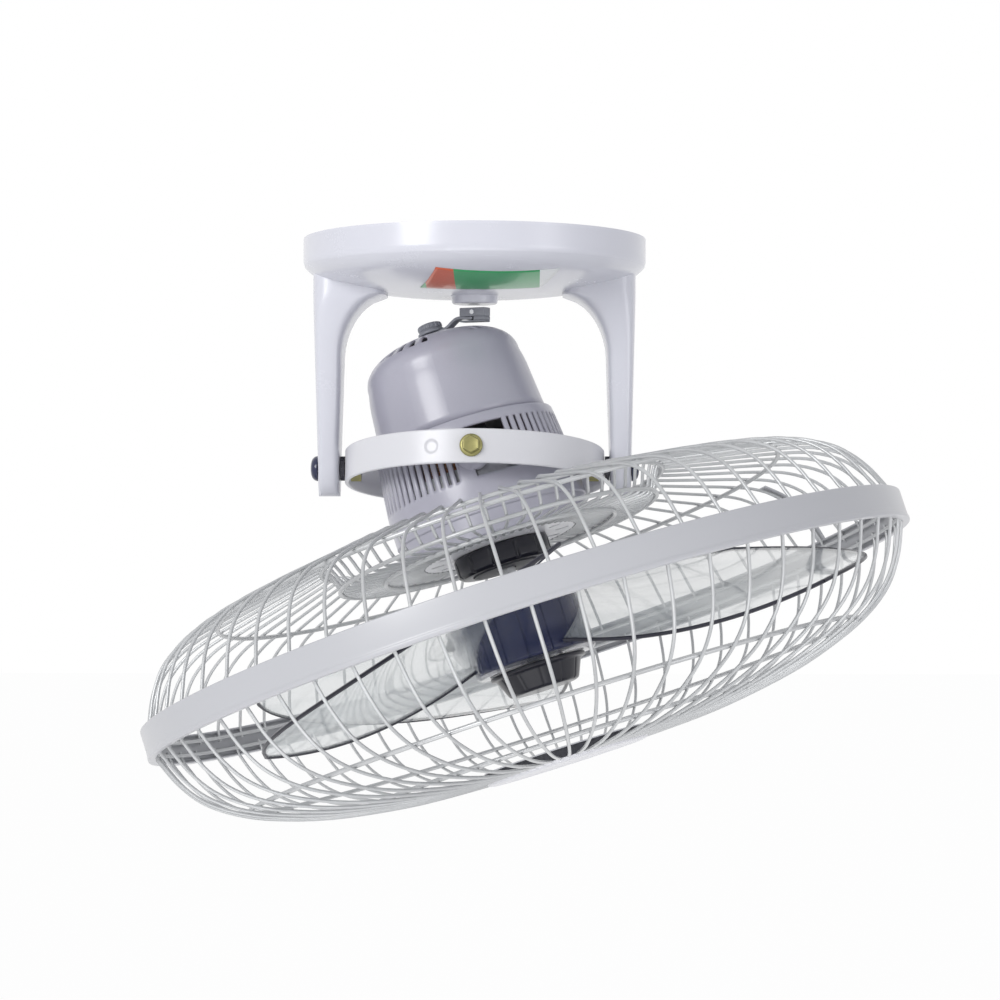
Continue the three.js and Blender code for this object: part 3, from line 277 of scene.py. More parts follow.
def plated(name, colour, roughness):
    """Plated or polished metal with drawn scratches and tarnish."""
    f = Finish(name)
    scratches = f.noise(420, 4, (1, 1, 9))
    tarnish = f.noise(140, 3)
    tone = f.blend(f.ramp(tarnish, 0.45, 0.75) * 0.6, shade(colour, 1.1), shade(colour, 0.6))
    return f.set(Base_Color=tone, Metallic=0.92 - tarnish * 0.1, Roughness=roughness + scratches * 0.16,
                 Normal=f.bump(scratches, 0.14, 0.0002))


def windings(name, colour):
    """Enamelled copper strands side by side, with painted shade in the valleys between strands and painted highlight
    on their crests.
    """
    f = Finish(name, Coat_Roughness=0.1)
    strands = f.node("ShaderNodeTexWave", {"wave_type": "RINGS", "rings_direction": "Z"},
                     {"Vector": f.place(), "Scale": 900.0, "Distortion": 0.6})
    # Colour follows the strands' bump height: painted shade in the valleys, painted highlight on the crests.
    tone = f.blend(strands, shade(colour, 0.35), shade(colour, 1.3))
    return f.set(Base_Color=tone, Metallic=0.75 - strands * 0.1, Roughness=0.34 + strands * 0.12,
                 Coat_Weight=0.4 + strands * 0.1, Normal=f.bump(strands, 0.5, 0.0004))


def sticker_stock(name):
    """Plain glossy sticker: green field, orange-red block at one end and a white stripe at the other."""
    f = Finish(name, Coat_Roughness=0.08)
    place = f.node("ShaderNodeTexCoord", output="Generated")
    across = f.node("ShaderNodeSeparateXYZ", {}, {"Vector": place}, "X")
    ink = f.noise(500, 3)
    green = f.blend(ink, (0.02, 0.3, 0.09, 1), (0.04, 0.38, 0.13, 1))
    left = f.node("ShaderNodeMath", {"operation": "LESS_THAN"}, {0: across, 1: 0.26})
    edge = f.node("ShaderNodeMath", {"operation": "LESS_THAN"}, {0: across, 1: 0.05})
    right = f.node("ShaderNodeMath", {"operation": "GREATER_THAN"}, {0: across, 1: 0.86})
    tone = f.blend(left, green, (0.6, 0.11, 0.04, 1))
    tone = f.blend(edge, tone, (0.04, 0.33, 0.11, 1))
    tone = f.blend(right, tone, (0.78, 0.8, 0.8, 1))
    return f.set(Base_Color=tone, Roughness=0.3 + ink * 0.1, Coat_Weight=0.3 + ink * 0.1,
                 Normal=f.bump(ink, 0.04, 0.0002))


FINISHES = {}


def finish(slot):
    """Material of one of the record's slots, made on first use."""
    if slot in FINISHES:
        return FINISHES[slot]
    c = bpy.context.scene.fan_colours
    makers = {
        "white_gloss": lambda: enamel("white_gloss", c.gloss_white, 0.18, 0.5, 90, 0.06),
        "ring_white": lambda: enamel("ring_white", c.ring_white, 0.28, 0.3),
        "lavender_paint": lambda: enamel("lavender_paint", c.lavender, 0.24, 0.4, 420, 0.08),
        "clamp_grey": lambda: enamel("clamp_grey", c.clamp_grey, 0.26, 0.35, 200, 0.05),
        "guard_wire": lambda: wire_coat("guard_wire", c.wire_grey),
        "clear_plastic": lambda: clear_moulding("clear_plastic", c.clear_tint),
        "black_plastic": lambda: dark_moulding("black_plastic", c.black, 0.28, 0.25),
        "navy_cap": lambda: dark_moulding("navy_cap", c.navy, 0.2, 0.5),
        "dark_plastic": lambda: dark_moulding("dark_plastic", (0.045, 0.046, 0.055), 0.4, 0.05),
        "crank_grey": lambda: enamel("crank_grey", c.crank_grey, 0.38, 0.1, 600, 0.1),
        "zinc_steel": lambda: plated("zinc_steel", (0.5, 0.51, 0.53), 0.26),
        "brass_screw": lambda: plated("brass_screw", c.brass, 0.3),
        "copper_wire": lambda: windings("copper_wire", (0.42, 0.16, 0.07)),
        "nylon": lambda: enamel("nylon", (0.76, 0.74, 0.67), 0.42, 0.05, 900, 0.1),
        "sticker": lambda: sticker_stock("sticker"),
        "hub_clear": lambda: clear_moulding("hub_clear", (0.03, 0.04, 0.1)),
    }
    FINISHES[slot] = makers[slot]()
    return FINISHES[slot]


def sizes():
    return bpy.context.scene.fan_sizes


def mm(value):
    return value / MM


# ---------- frames of the moving bodies at rest ----------
def gimbal_frame():
    s = sizes()
    return Matrix.Translation((0, 0, -s.pivot_drop)) @ Matrix.Rotation(-s.ring_tilt, 4, "X")


def head_frame():
    return gimbal_frame() @ Matrix.Rotation(-sizes().head_tilt, 4, "Y")


def guard_frame():
    return head_frame() @ Matrix.Translation((0, 0, -sizes().guard_drop))


def crank_azimuth():
    s = sizes()
    return math.atan2(-math.sin(s.ring_tilt), math.cos(s.ring_tilt) * math.sin(s.head_tilt))


def orbit_tilt():
    s = sizes()
    return math.acos(math.cos(s.ring_tilt) * math.cos(s.head_tilt))


# ---------- shape helpers, in millimetres ----------
def soft(points, radius, steps=5, closed=False):
    """Points with every bend rounded by up to the radius."""
    count = len(points)
    out = []
    for i, p in enumerate(points):
        if not closed and i in (0, count - 1):
            out.append(tuple(p))
            continue
        p, a, b = Vector(p), Vector(points[i - 1]), Vector(points[(i + 1) % count])
        before, after = a - p, b - p
        if before.length < 1e-6 or after.length < 1e-6:
            continue
        start = p + before.normalized() * min(radius, before.length * 0.45)
        end = p + after.normalized() * min(radius, after.length * 0.45)
        for k in range(steps + 1):
            t = k / steps
            out.append(tuple(start * (1 - t) ** 2 + p * 2 * t * (1 - t) + end * t * t))
    return out


def curved(points, steps=6):
    """Smooth curve through every point."""
    out = []
    for i in range(len(points) - 1):
        p = [Vector(points[max(0, min(len(points) - 1, k))]) for k in (i - 1, i, i + 1, i + 2)]
        for k in range(steps):
            t = k / steps
            out.append(tuple(0.5 * (2 * p[1] + (p[2] - p[0]) * t + (2 * p[0] - 5 * p[1] + 4 * p[2] - p[3]) * t * t
                                    + (3 * p[1] - p[0] - 3 * p[2] + p[3]) * t ** 3)))
    return out + [tuple(points[-1])]


def even(count, start=0.0, span=360.0):
    return [start + span * i / count for i in range(count)]


def lathe(profile, azimuths, closed=False, around=True, shape=None, skip=None):
    """Profile of (radius, height) turned about Z, through the listed azimuths in degrees.
    shape(radius, height, azimuth) may return a new radius, and skip(row, azimuth) leaves faces out."""
    verts, faces = [], []
    rows = len(profile)
    for a in azimuths:
        c, s = math.cos(math.radians(a)), math.sin(math.radians(a))
        for r, z in profile:
            r = shape(r, z, a) if shape else r
            verts.append((r * c, r * s, z))
    for i in range(len(azimuths) if around else len(azimuths) - 1):
        j = (i + 1) % len(azimuths)
        turn = (azimuths[j] - azimuths[i]) % 360
        for k in range(rows if closed else rows - 1):
            m = (k + 1) % rows
            if skip and skip(k, azimuths[i] + turn / 2):
                continue
            faces.append((i * rows + k, j * rows + k, j * rows + m, i * rows + m))
    if closed and not around:
        faces.append(tuple(range(rows))[::-1])
        faces.append(tuple((len(azimuths) - 1) * rows + k for k in range(rows)))
    return verts, faces


def loft(sections, capped=True):
    count = len(sections[0])
    verts = [v for section in sections for v in section]
    faces = []
    for s in range(len(sections) - 1):
        for i in range(count):
            j = (i + 1) % count
            faces.append((s * count + i, s * count + j, (s + 1) * count + j, (s + 1) * count + i))
    if capped:
        faces.append(tuple(range(count))[::-1])
        faces.append(tuple((len(sections) - 1) * count + i for i in range(count)))
    return verts, faces


def tube(path, radius, sides=8, closed=False):
    """Round wire along a path."""
    points = [Vector(p) for p in path]
    count = len(points)
    sections = []
    side = None
    for i, p in enumerate(points):
        a = points[i - 1] if closed or i else p
        b = points[(i + 1) % count] if closed or i < count - 1 else p
        along = (b - a).normalized()
        side = along.orthogonal() if side is None else side - along * side.dot(along)
        side.normalize()
        other = along.cross(side)
        sections.append([tuple(p + (side * math.cos(t) + other * math.sin(t)) * radius)
                         for t in (2 * math.pi * k / sides for k in range(sides))])
    if closed:
        sections.append(sections[0])
    return loft(sections, not closed)


def block(x, y, z, centre=(0, 0, 0)):
    cx, cy, cz = centre
    verts = [(cx + sx * x / 2, cy + sy * y / 2, cz + sz * z / 2)
             for sz in (-1, 1) for sx, sy in ((-1, -1), (1, -1), (1, 1), (-1, 1))]
    return verts, [(3, 2, 1, 0), (4, 5, 6, 7), (0, 1, 5, 4), (1, 2, 6, 5), (2, 3, 7, 6), (3, 0, 4, 7)]


def moved(shape, matrix):
    return [tuple(matrix @ Vector(v)) for v in shape[0]], shape[1]


def together(*shapes):
    verts, faces = [], []
    for v, f in shapes:
        base = len(verts)
        verts += v
        faces += [tuple(base + i for i in face) for face in f]
    return verts, faces


ALONG_X = Matrix.Rotation(math.radians(90), 4, "Y")


def spin(degrees):
    return Matrix.Rotation(math.radians(degrees), 4, "Z")


def piece(name, shape, where, body, slot, replaced=(), sharp=38, edge=0.0, wall=0.0, slots=()):
    """Piece in millimetres, placed in its body's frame, with soft edges and its slot's finish."""
    mesh = bpy.data.meshes.new(name)
    verts, faces = shape
    mesh.from_pydata([where @ (Vector(v) * MM) for v in verts], [], faces)
    bm = bmesh.new()
    bm.from_mesh(mesh)
    bmesh.ops.remove_doubles(bm, verts=bm.verts, dist=1e-7)
    bmesh.ops.dissolve_degenerate(bm, dist=1e-7, edges=bm.edges)
    if not wall:
        bmesh.ops.recalc_face_normals(bm, faces=bm.faces)
    bm.to_mesh(mesh)
    bm.free()
    mesh.shade_smooth()
    mesh.set_sharp_from_angle(angle=math.radians(sharp))
    made = bpy.data.objects.new(name, mesh)
    bpy.context.scene.collection.objects.link(made)
    if wall:
        skin = made.modifiers.new("wall", "SOLIDIFY")
        skin.thickness, skin.offset, skin.use_even_offset = wall * MM, -1, True
    if edge:
        round_edges = made.modifiers.new("soft_edges", "BEVEL")
        round_edges.width, round_edges.segments = edge * MM, 3
        round_edges.limit_method, round_edges.angle_limit = "ANGLE", math.radians(32)
        round_edges.harden_normals = True
    for other in (slot, *slots):
        mesh.materials.append(finish(other))
    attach(made, body)
    if replaced:
        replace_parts(made, *replaced)
    return made


def use_second_finish(made):
    for face in made.data.polygons:
        face.material_index = 1


# ---------- pieces ----------
LEG_TOP_REACH = 94.0  # radius that each leg's outer side spreads to
LEG_TOP_LIMIT = 94.4  # radius past which a leg's top takes the bowl's height there
FOOT_RADIUS = 16.4  # rounded lower end of each leg
FLARE_HEIGHT = 36  # height over which each leg spreads into the bowl
FLARE_REACH = 27  # how far that spread goes inwards
HOUSING_TOP_RADIUS = 54
HOUSING_TOP = 21.2
HOUSING_LOW = -47.2
REAR_WIRE_PHASE = 3.7  # degrees round from the front wires
BLADE_PHASE = 4
PAINTED_REFLECTION_RADIUS = 1.15  # black line along each blade's edges: painted dark reflection of the clear edges


def bowl_height(r):
    s = sizes()
    cove = mm(s.canopy_radius) - 5.6
    return -mm(s.bowl_depth) + (mm(s.bowl_depth) - mm(s.rim_height) - 6.5) * (r / cove) ** 3


def leg_shape():
    """Leg towards +X: rounded foot, slightly tapered shank and a flare into the bowl."""
    s = sizes()
    drop, depth_top = mm(s.pivot_drop), mm(s.bowl_depth)
    inner_low, low_outer = mm(s.leg_inner), mm(s.leg_inner) + mm(s.leg_thickness)
    lowest, start = -drop - FOOT_RADIUS, -(depth_top + FLARE_HEIGHT)
    levels = [lowest + FOOT_RADIUS * (1 - math.cos(math.radians(a))) for a in range(4, 90, 8)]
    levels += [-drop + (start + drop) * k / 6 for k in range(7)]
    levels += [start + FLARE_HEIGHT * k / 12 for k in range(1, 13)]
    levels += [-depth_top + 4, -depth_top + 9, -depth_top + 13]
    sections = []
    for z in levels:
        up = min(max((z + drop) / (drop - depth_top), 0), 1)
        flare = min(max((z - start) / FLARE_HEIGHT, 0), 1)
        outer = low_outer + up * (LEG_TOP_REACH - low_outer)
        inner = inner_low - 3.2 * up - FLARE_REACH * (1 - math.sqrt(1 - min(flare, 0.995) ** 2))
        below = max(-drop - z, 0)
        depth = (28 + 16 * (up ** 1.4 + flare * 0.15)) / 2 * math.sqrt(max(1 - (below / FOOT_RADIUS) ** 2, 0))
        middle, half = (inner + outer) / 2, (outer - inner) / 2
        section = []
        for k in range(40):
            c, n = math.cos(2 * math.pi * k / 40), math.sin(2 * math.pi * k / 40)
            x = middle + half * math.copysign(abs(c) ** 0.5, c)
            y = depth * math.copysign(abs(n) ** 0.5, n)
            section.append((x, y, min(z, bowl_height(min(math.hypot(x, y), LEG_TOP_LIMIT)) + 1.5)))
        sections.append(section)
    return loft(sections)


def make_yoke():
    s = sizes()
    r, rim, wall = mm(s.canopy_radius), mm(s.rim_height), 3
    under = [(t, bowl_height(t)) for t in (0, 20, 40, 55, 68, 78, 86)]
    under += [(91, -22.4), (94.8, -20.2), (97.6, -17.9), (r - 0.6, -rim - 0.8)]
    side = [(r, -rim + 1.6), (r, -rim + 4), (r, -8), (r, -5), (r, -3), (r, 0)]
    inside = [(r - wall, 0), (r - wall, -rim)] + [(t, bowl_height(t) + wall) for t in (91, 70, 40, 0)]
    bowl = lathe(soft(curved(under, 4), 2) + soft(side, 1.8) + inside, even(160))
    boss = lathe(soft([(0, -mm(s.bowl_depth) - 4.6), (13.2, -mm(s.bowl_depth) - 4.6),
                       (13.8, -mm(s.bowl_depth)), (16, -mm(s.bowl_depth) + 1)], 1.2), even(64))
    shape = together(bowl, leg_shape(), moved(leg_shape(), spin(180)), boss)
    piece("yoke", shape, Matrix.Identity(4), "bracket", "white_gloss", ["yoke_housing"], 30)


def make_sticker():
    """Plain sticker that follows the bowl's front underside."""
    verts, faces = [], []
    across, along = 28, 16
    for j in range(along + 1):
        for i in range(across + 1):
            u, v = i / across, j / along
            x = -30 + 68 * u + 11 * v
            y = -41 + 3 * u - 45 * v + 8 * u * v
            verts.append((x, y, bowl_height(math.hypot(x, y)) - 0.22))
    for j in range(along):
        for i in range(across):
            a = j * (across + 1) + i
            faces.append((a, a + 1, a + across + 2, a + across + 1))
    sticker = piece("sticker", (verts, faces), Matrix.Identity(4), "bracket", "white_gloss",
                    slots=["sticker"], wall=0.12)
    use_second_finish(sticker)


def make_leg_bolts():
    s = sizes()
    seat = mm(s.leg_inner) + mm(s.leg_thickness) + 0.3
    head = [(0, seat + 4.6), (3.4, seat + 4.3), (5.6, seat + 3.6), (7.0, seat + 2.2), (7.5, seat + 0.6),
            (7.4, seat), (4, seat), (4, 66), (0, 66)]
    for side, turn in (("right", 0), ("left", 180)):
        where = Matrix.Translation((0, 0, -s.pivot_drop)) @ spin(turn)
        piece(f"leg_bolt_{side}", moved(lathe(soft(head, 0.8), even(48)), ALONG_X), where, "bracket",
              "navy_cap", [f"leg_pivot_bolt_{side}"])


def make_ring():
    s = sizes()
    outer, half, wall = mm(s.ring_radius), mm(s.ring_height) / 2, 2.4
    azimuths = sorted(set(even(180)) | {253 + 0.3 * k for k in range(-14, 15)})
    rows = [-half + half * 2 * k / 36 for k in range(37)]
    profile = [(outer - 0.5, -half), *[(outer, z) for z in rows[1:-1]], (outer - 0.5, half),
               (outer - wall + 0.5, half), (outer - wall, half - 0.5), (outer - wall, -half + 0.5),
               (outer - wall + 0.5, -half)]

    def dimpled(r, z, a):
        away = math.hypot((a - 253) * math.pi / 180 * outer, z)
        return r - 0.8 * (1 if away < 3 else max(0, 1 - (away - 3) / 1.1)) if r == outer else r

    piece("ring", lathe(profile, azimuths, closed=True, shape=dimpled), gimbal_frame(), "gimbal",
          "ring_white", ["gimbal_ring"], 50)


def hex_screw(flats, head, flange, flange_height, seat, tip, shank):
    """Hexagon-headed flange screw along +Z."""
    body = lathe(soft([(0, tip), (shank, tip), (shank, seat), (flange, seat), (flange, seat + flange_height * 0.5),
                       (flange - 1, seat + flange_height), (0, seat + flange_height)], 0.4), even(48))
    corner = flats / math.sqrt(3)
    rings = []
    for z, share in ((0, 1), (head - 0.7, 1), (head, 0.88), (head - 0.35, 0.5)):
        rings.append([(corner * share * math.cos(math.radians(60 * k + 12)),
                       corner * share * math.sin(math.radians(60 * k + 12)), seat + flange_height + z)
                      for k in range(6)])
    return body, loft(rings)


def make_head_screws():
    s = sizes()
    for side, turn in (("front", 1), ("back", -1)):
        shape = together(*hex_screw(9, 3, 6.4, 1.4, mm(s.ring_radius) + 0.3, 55, 3))
        where = head_frame() @ Matrix.Rotation(math.radians(90 * turn), 4, "X")
        piece(f"pivot_screw_{side}", shape, where, "head", "brass_screw", [f"head_pivot_screw_{side}"], edge=0.25)


def slot_edges(centres, half):
    """Azimuths at both sides of each opening, with one in the middle of each."""
    return sorted({round(c + k * half, 4) % 360 for c in centres for k in (-1, 0, 1)})


def make_housing():
    s = sizes()
    r = mm(s.housing_radius)
    pitch, half = 5.0, 1.1
    centres = [2.5 + pitch * i for i in range(72)]
    window = [c for c in centres if abs((c - 280 + 180) % 360 - 180) < 12.5]
    pads = [c for c in centres if abs(abs(c - 180) - 90) < 12.3]
    slots = [c for c in centres if c not in window and c not in pads]
    azimuths = sorted(set(slot_edges(centres, half)) | {round(pitch * i, 4) for i in range(72)})
    narrow, top, step, low, high = HOUSING_TOP_RADIUS, HOUSING_TOP, -34.0, -14.3, 15.0
    at = lambda z: narrow + (r - narrow) * (top - z) / (top + 16.3)
    rows = [(46.5, top), (narrow - 1.4, top), (narrow - 0.4, top - 0.3), (narrow, top - 1.1),
            (at(high + 1), high + 1), (at(high), high), (at(0), 0), (at(low), low), (r, -16.3), (r, -25),
            (r, step + 0.5), (r - 0.3, step), (r - 1, step - 0.4), (r - 1, -40), (r - 1, HOUSING_LOW + 0.8),
            (r - 1.6, HOUSING_LOW), (r - 4, HOUSING_LOW)]
    first, last = rows.index((at(high), high)), rows.index((at(low), low))

    def open_at(row, azimuth):
        if not first <= row < last:
            return False
        if abs((azimuth - 280 + 180) % 360 - 180) < 10 + half:
            return True
        return any(abs((azimuth - c + 180) % 360 - 180) < half for c in slots)

    verts, faces = lathe(rows, azimuths, skip=open_at)
    shell = verts, [face[::-1] for face in faces]
    piece("housing", shell, head_frame(), "head", "lavender_paint", ["motor_housing"], 30, wall=2.6)
    outline = [(3.4, 53), (10.5, 53), (10.5, r - 0.5), (7.5, r + 3), (7.5, 71.1), (3.4, 71.1)]
    boss = lathe(soft(outline, 0.8), even(48))
    for side, turn in (("front", 1), ("back", -1)):
        where = head_frame() @ Matrix.Rotation(math.radians(90 * turn), 4, "X")
        piece(f"trunnion_{side}", boss, where, "head", "lavender_paint")


def cover_profile(crown, offset=0.0):
    points = [(51, 21.5), (50.4, 26), (49.4, 38), (48.4, 50), (47.6, 55.5), (46.6, 60)]
    power, rise = 2.35, crown - 60
    for k in range(1, 27):
        share = max(math.cos(math.pi / 2 * k / 26), 0) ** 0.8
        points.append((46.6 * share, 60 + rise * max(1 - share ** power, 0) ** (1 / power)))
    return points


def make_cover():
    s = sizes()
    inner, outer, half = 29.0, 41.0, 2.7
    centres = [(-122 + 90 * g + (i - 2) * 11.5) % 360 for g in range(4) for i in range(5)]
    azimuths = sorted(set(slot_edges(centres, half)) | set(even(48, 1.3)))
    points = cover_profile(mm(s.cover_crown))
    rise = mm(s.cover_crown) - 60
    vent_ends = [(r, 60 + rise * (1 - (r / 46.6) ** 2.35) ** (1 / 2.35)) for r in (inner, outer)]
    marks = sorted(points + vent_ends, key=lambda p: (-p[0], p[1]))
    profile = [p for p in marks if p[0] > 5.6] + [(5.6, mm(s.cover_crown))]

    def open_at(row, azimuth):
        if not (inner - 0.01 <= profile[row + 1][0] and profile[row][0] <= outer + 0.01 and profile[row][1] > 60):
            return False
        return any(abs((azimuth - c + 180) % 360 - 180) < half for c in centres)

    piece("cover", lathe(profile, azimuths, skip=open_at), head_frame(), "head", "lavender_paint",
          ["rear_cover"], 34, wall=2.0)


def make_crank():
    where = head_frame() @ Matrix.Rotation(crank_azimuth(), 4, "Z")
    base = mm(sizes().cover_crown) + 2.7
    knob = [(4.3, base), (8.2, base), (8.2, base + 1.7), (6.5, base + 2.5), (7.4, base + 3.3), (7.4, base + 5.4),
            (6.6, base + 6.2), (0, base + 6.2)]
    grips = lambda r, z, a: r - 0.35 * (a % 20 < 9) if r > 7 and z > base + 3 else r
    piece("knob", lathe(soft(knob, 0.6), even(144), shape=grips), where, "crank", "crank_grey", ["crank_knob"])
    tilt = Matrix.Rotation(orbit_tilt(), 4, "Y")
    tongue = lambda x: tuple(tilt @ Vector((x, 0, 90.1 - 2.0)))
    middle = base - 1.1
    path = curved([(-6, 0, middle), (2, 0, middle), (10, 0, middle), tongue(-11), tongue(-4), tongue(-0.1)], 8)
    sections = []
    for i, p in enumerate(path):
        a, b = Vector(path[max(i - 1, 0)]), Vector(path[min(i + 1, len(path) - 1)])
        along = (b - a).normalized()
        up = along.cross(Vector((0, 1, 0))).normalized()
        half = 5 if p[0] < 9 else 3.2 + 1.8 * max(0, 1 - (p[0] - 9) / 4)
        if p[0] < -1:
            half = math.sqrt(max(6.2 ** 2 - p[0] ** 2, 1))
        ring = [(-half, -1), (half, -1), (half, 1), (-half, 1)]
        sections.append([tuple(Vector(p) + up * 0.8 * w + Vector((0, y, 0))) for y, w in ring])
    piece("arm", loft(sections), where, "crank", "crank_grey", ["crank_arm"], edge=0.3)
    lower, upper = block(17, 7, 1.0, (0, 0, -3.7)), block(17, 7, 5.2, (0, 0, 1.6))
    web = block(7.6, 7, 2.3, (4.7, 0, -2.1))
    shape = moved(together(lower, upper, web), Matrix.Translation((0, 0, 90.1)))
    piece("swivel", moved(shape, tilt), where, "crank", "crank_grey", ["swivel_block"], edge=0.5)


def guard_wires(outline, phase):
    s = sizes()
    count = s.wire_count
    wire = tube([(r, 0, z) for r, z in outline], mm(s.wire_radius), 7)
    return [moved(wire, spin(phase + 360 * i / count)) for i in range(count)]


def hoop(r, z):
    path = [(r * math.cos(math.radians(a)), r * math.sin(math.radians(a)), z) for a in even(150)]
    return tube(path, mm(sizes().hoop_radius), 8, closed=True)


def make_guards():
    where = guard_frame()
    rear = [(223.3, 1.7), (223, 7.4), (221, 12.9), (215, 26.4), (205.5, 39), (190, 48.8), (170, 54.8), (140, 61.4),
            (118, 66.2), (106, 68.8), (101.6, 67.4), (98.6, 62), (96, 56), (92, 52.6), (84, 52.3), (70, 52.3),
            (46.3, 52.3)]
    wires = guard_wires(curved(rear, 4), REAR_WIRE_PHASE)
    hoops = [hoop(223.3, 4), hoop(170, 52.4), hoop(104.4, 66.6), hoop(96.6, 53.4), hoop(70, 50.6)]
    crown = [f"rear_guard_crown_{i}" for i in range(1, 7)]
    piece("rear_wires", together(*wires, *hoops), where, "head", "guard_wire",
          ["rear_guard", *crown, "rear_guard_well", "rear_guard_floor"], 60)
    front = [(223.3, -1.7), (223, -7), (221, -12.7), (215, -25.6), (205, -39), (190, -50), (170, -59), (140, -67.8),
             (100, -74.2), (70, -76.2), (48.9, -76.4)]
    wires = guard_wires(curved(front, 4), 0)
    hoops = [hoop(223.3, -4), hoop(182, -51.6), hoop(120, -69.2)]
    piece("front_wires", together(*wires, *hoops), where, "head", "guard_wire", ["front_guard"], 60)
    lift = 2.2
    path = curved([(222.2 + lift, 8), (219 + lift, 19), (214 + lift * 0.9, 29), (205 + lift * 0.7, 40.6),
                   (192 + lift * 0.5, 50)], 5)
    sections = []
    for i, (r, z) in enumerate(path):
        a, b = Vector(path[max(i - 1, 0)]), Vector(path[min(i + 1, len(path) - 1)])
        along = (b - a).normalized()
        out = Vector((along.y, -along.x))
        sections.append([(r + out.x * 0.6 * w, y, z + out.y * 0.6 * w) for y, w in
                         ((-4, -1), (4, -1), (4, 1), (-4, 1))])
    piece("strap", moved(loft(sections), spin(28)), where, "head", "clamp_grey", ["rear_guard_strap"], edge=0.3)


def make_clamp():
    s = sizes()
    r, half, wall = mm(s.clamp_radius), mm(s.clamp_height) / 2, 1.8
    split = math.degrees(2.0 / r)
    outline = [(r - 4.4, half), (r, half), (r - 0.2, -half + 3), (r + 0.2, -half + 2.2),
               (r + 0.2, -half + 0.8), (r, -half), (r - 4.4, -half), (r - 4.4, -half + 1),
               (r - wall, -half + wall), (r - wall, half - wall), (r - 4.4, half - 1)]
    channel = soft(outline, 0.9, 4, closed=True)
    azimuths = even(240, 90 + split, 360 - 2 * split) + [450 - split]
    band = lathe(channel, azimuths, closed=True, around=False)
    ears = [block(2.4, 12, 2 * half - 6, (side * 3.2, r + 5, 0)) for side in (-1, 1)]
    piece("clamp", band, guard_frame(), "head", "clamp_grey", ["clamp_ring"], 40)
    piece("clamp_ears", together(*ears), guard_frame(), "head", "clamp_grey", edge=0.6)


def make_plates():
    where = guard_frame()
    r, low, high = 48.5, -79, -70.5
    dish = [(0, low + 1), (20, low + 1), (r - 6, low + 0.6), (r - 3, low), (r - 0.6, low + 0.8), (r, low + 2.4),
            (r, high - 1), (r - 0.4, high), (r - 1.4, high), (r - 1.6, low + 3), (r - 5, low + 2.2), (0, low + 2.4)]
    marks = lambda rad, z, a: rad - 0.7 if rad > r - 0.2 and low + 3 < z < high - 1.4 and a % 6 < 2.6 else rad
    plate = piece("centre_plate", lathe(soft(dish, 0.5), even(240), shape=marks), where, "head", "ring_white",
                  ["front_plate"], 34, slots=["dark_plastic"])
    # The side band takes the dark second finish: painted shade where the plate's side lies in shade; the indented
    # marks on it are its vents.
    up = guard_frame().inverted()
    for face in plate.data.polygons:
        c = (up @ (plate.matrix_world @ face.center)) / MM
        if math.hypot(c.x, c.y) > r - 1.2 and low + 2.6 < c.z < high - 0.8:
            face.material_index = 1
    top = -47.5 - 1.6 - 0.3
    nut = [(20.3, top - 12.4), (26.2, top - 12.4), (28.5, top - 10.6), (28.5, top - 1), (27.8, top), (20.3, top)]
    grips = lambda rad, z, a: rad - 1.5 if rad > 27 and z < top - 2.4 and (a + 15) % 30 < 4 else rad
    piece("lock_nut", lathe(soft(nut, 0.8), even(180), closed=True, shape=grips), head_frame(), "head",
          "black_plastic", ["guard_lock_nut"], 34)


def blade_shape():
    """One blade: crowned sheet between its leading and trailing edges, thin at the tip."""
    s = sizes()
    tip, root = mm(s.blade_tip), mm(s.hub_radius) - 1.2
    across, along = 26, 34

    def point(share, w, side):
        corner = 17 * abs(2 * w - 1) ** 5
        r = root + share * (tip - corner * share ** 4 - root)
        t = (r - root) / (tip - root)
        lead, trail = -64 + 33 * math.sqrt(t), 30 + 4 * t
        azimuth = math.radians(lead + (trail - lead) * w)
        low, high = -13 - 62 * t + 48 * t * t, 24 - 3.5 * t
        height = low + (high - low) * w - 7 * t * (1 - (2 * w - 1) ** 2)
        thin = (1 - 0.35 * t) * (1 - 0.5 * abs(2 * w - 1) ** 12)
        return r * math.cos(azimuth), r * math.sin(azimuth), height + side * thin

    shares = [k / across for k in range(across + 1)]
    sections = []
    for j in range(along + 1):
        share = math.sin(math.pi / 2 * j / along) ** 1.15
        sections.append([point(share, w, -1) for w in shares] + [point(share, w, 1) for w in reversed(shares)])
    return loft(sections), across


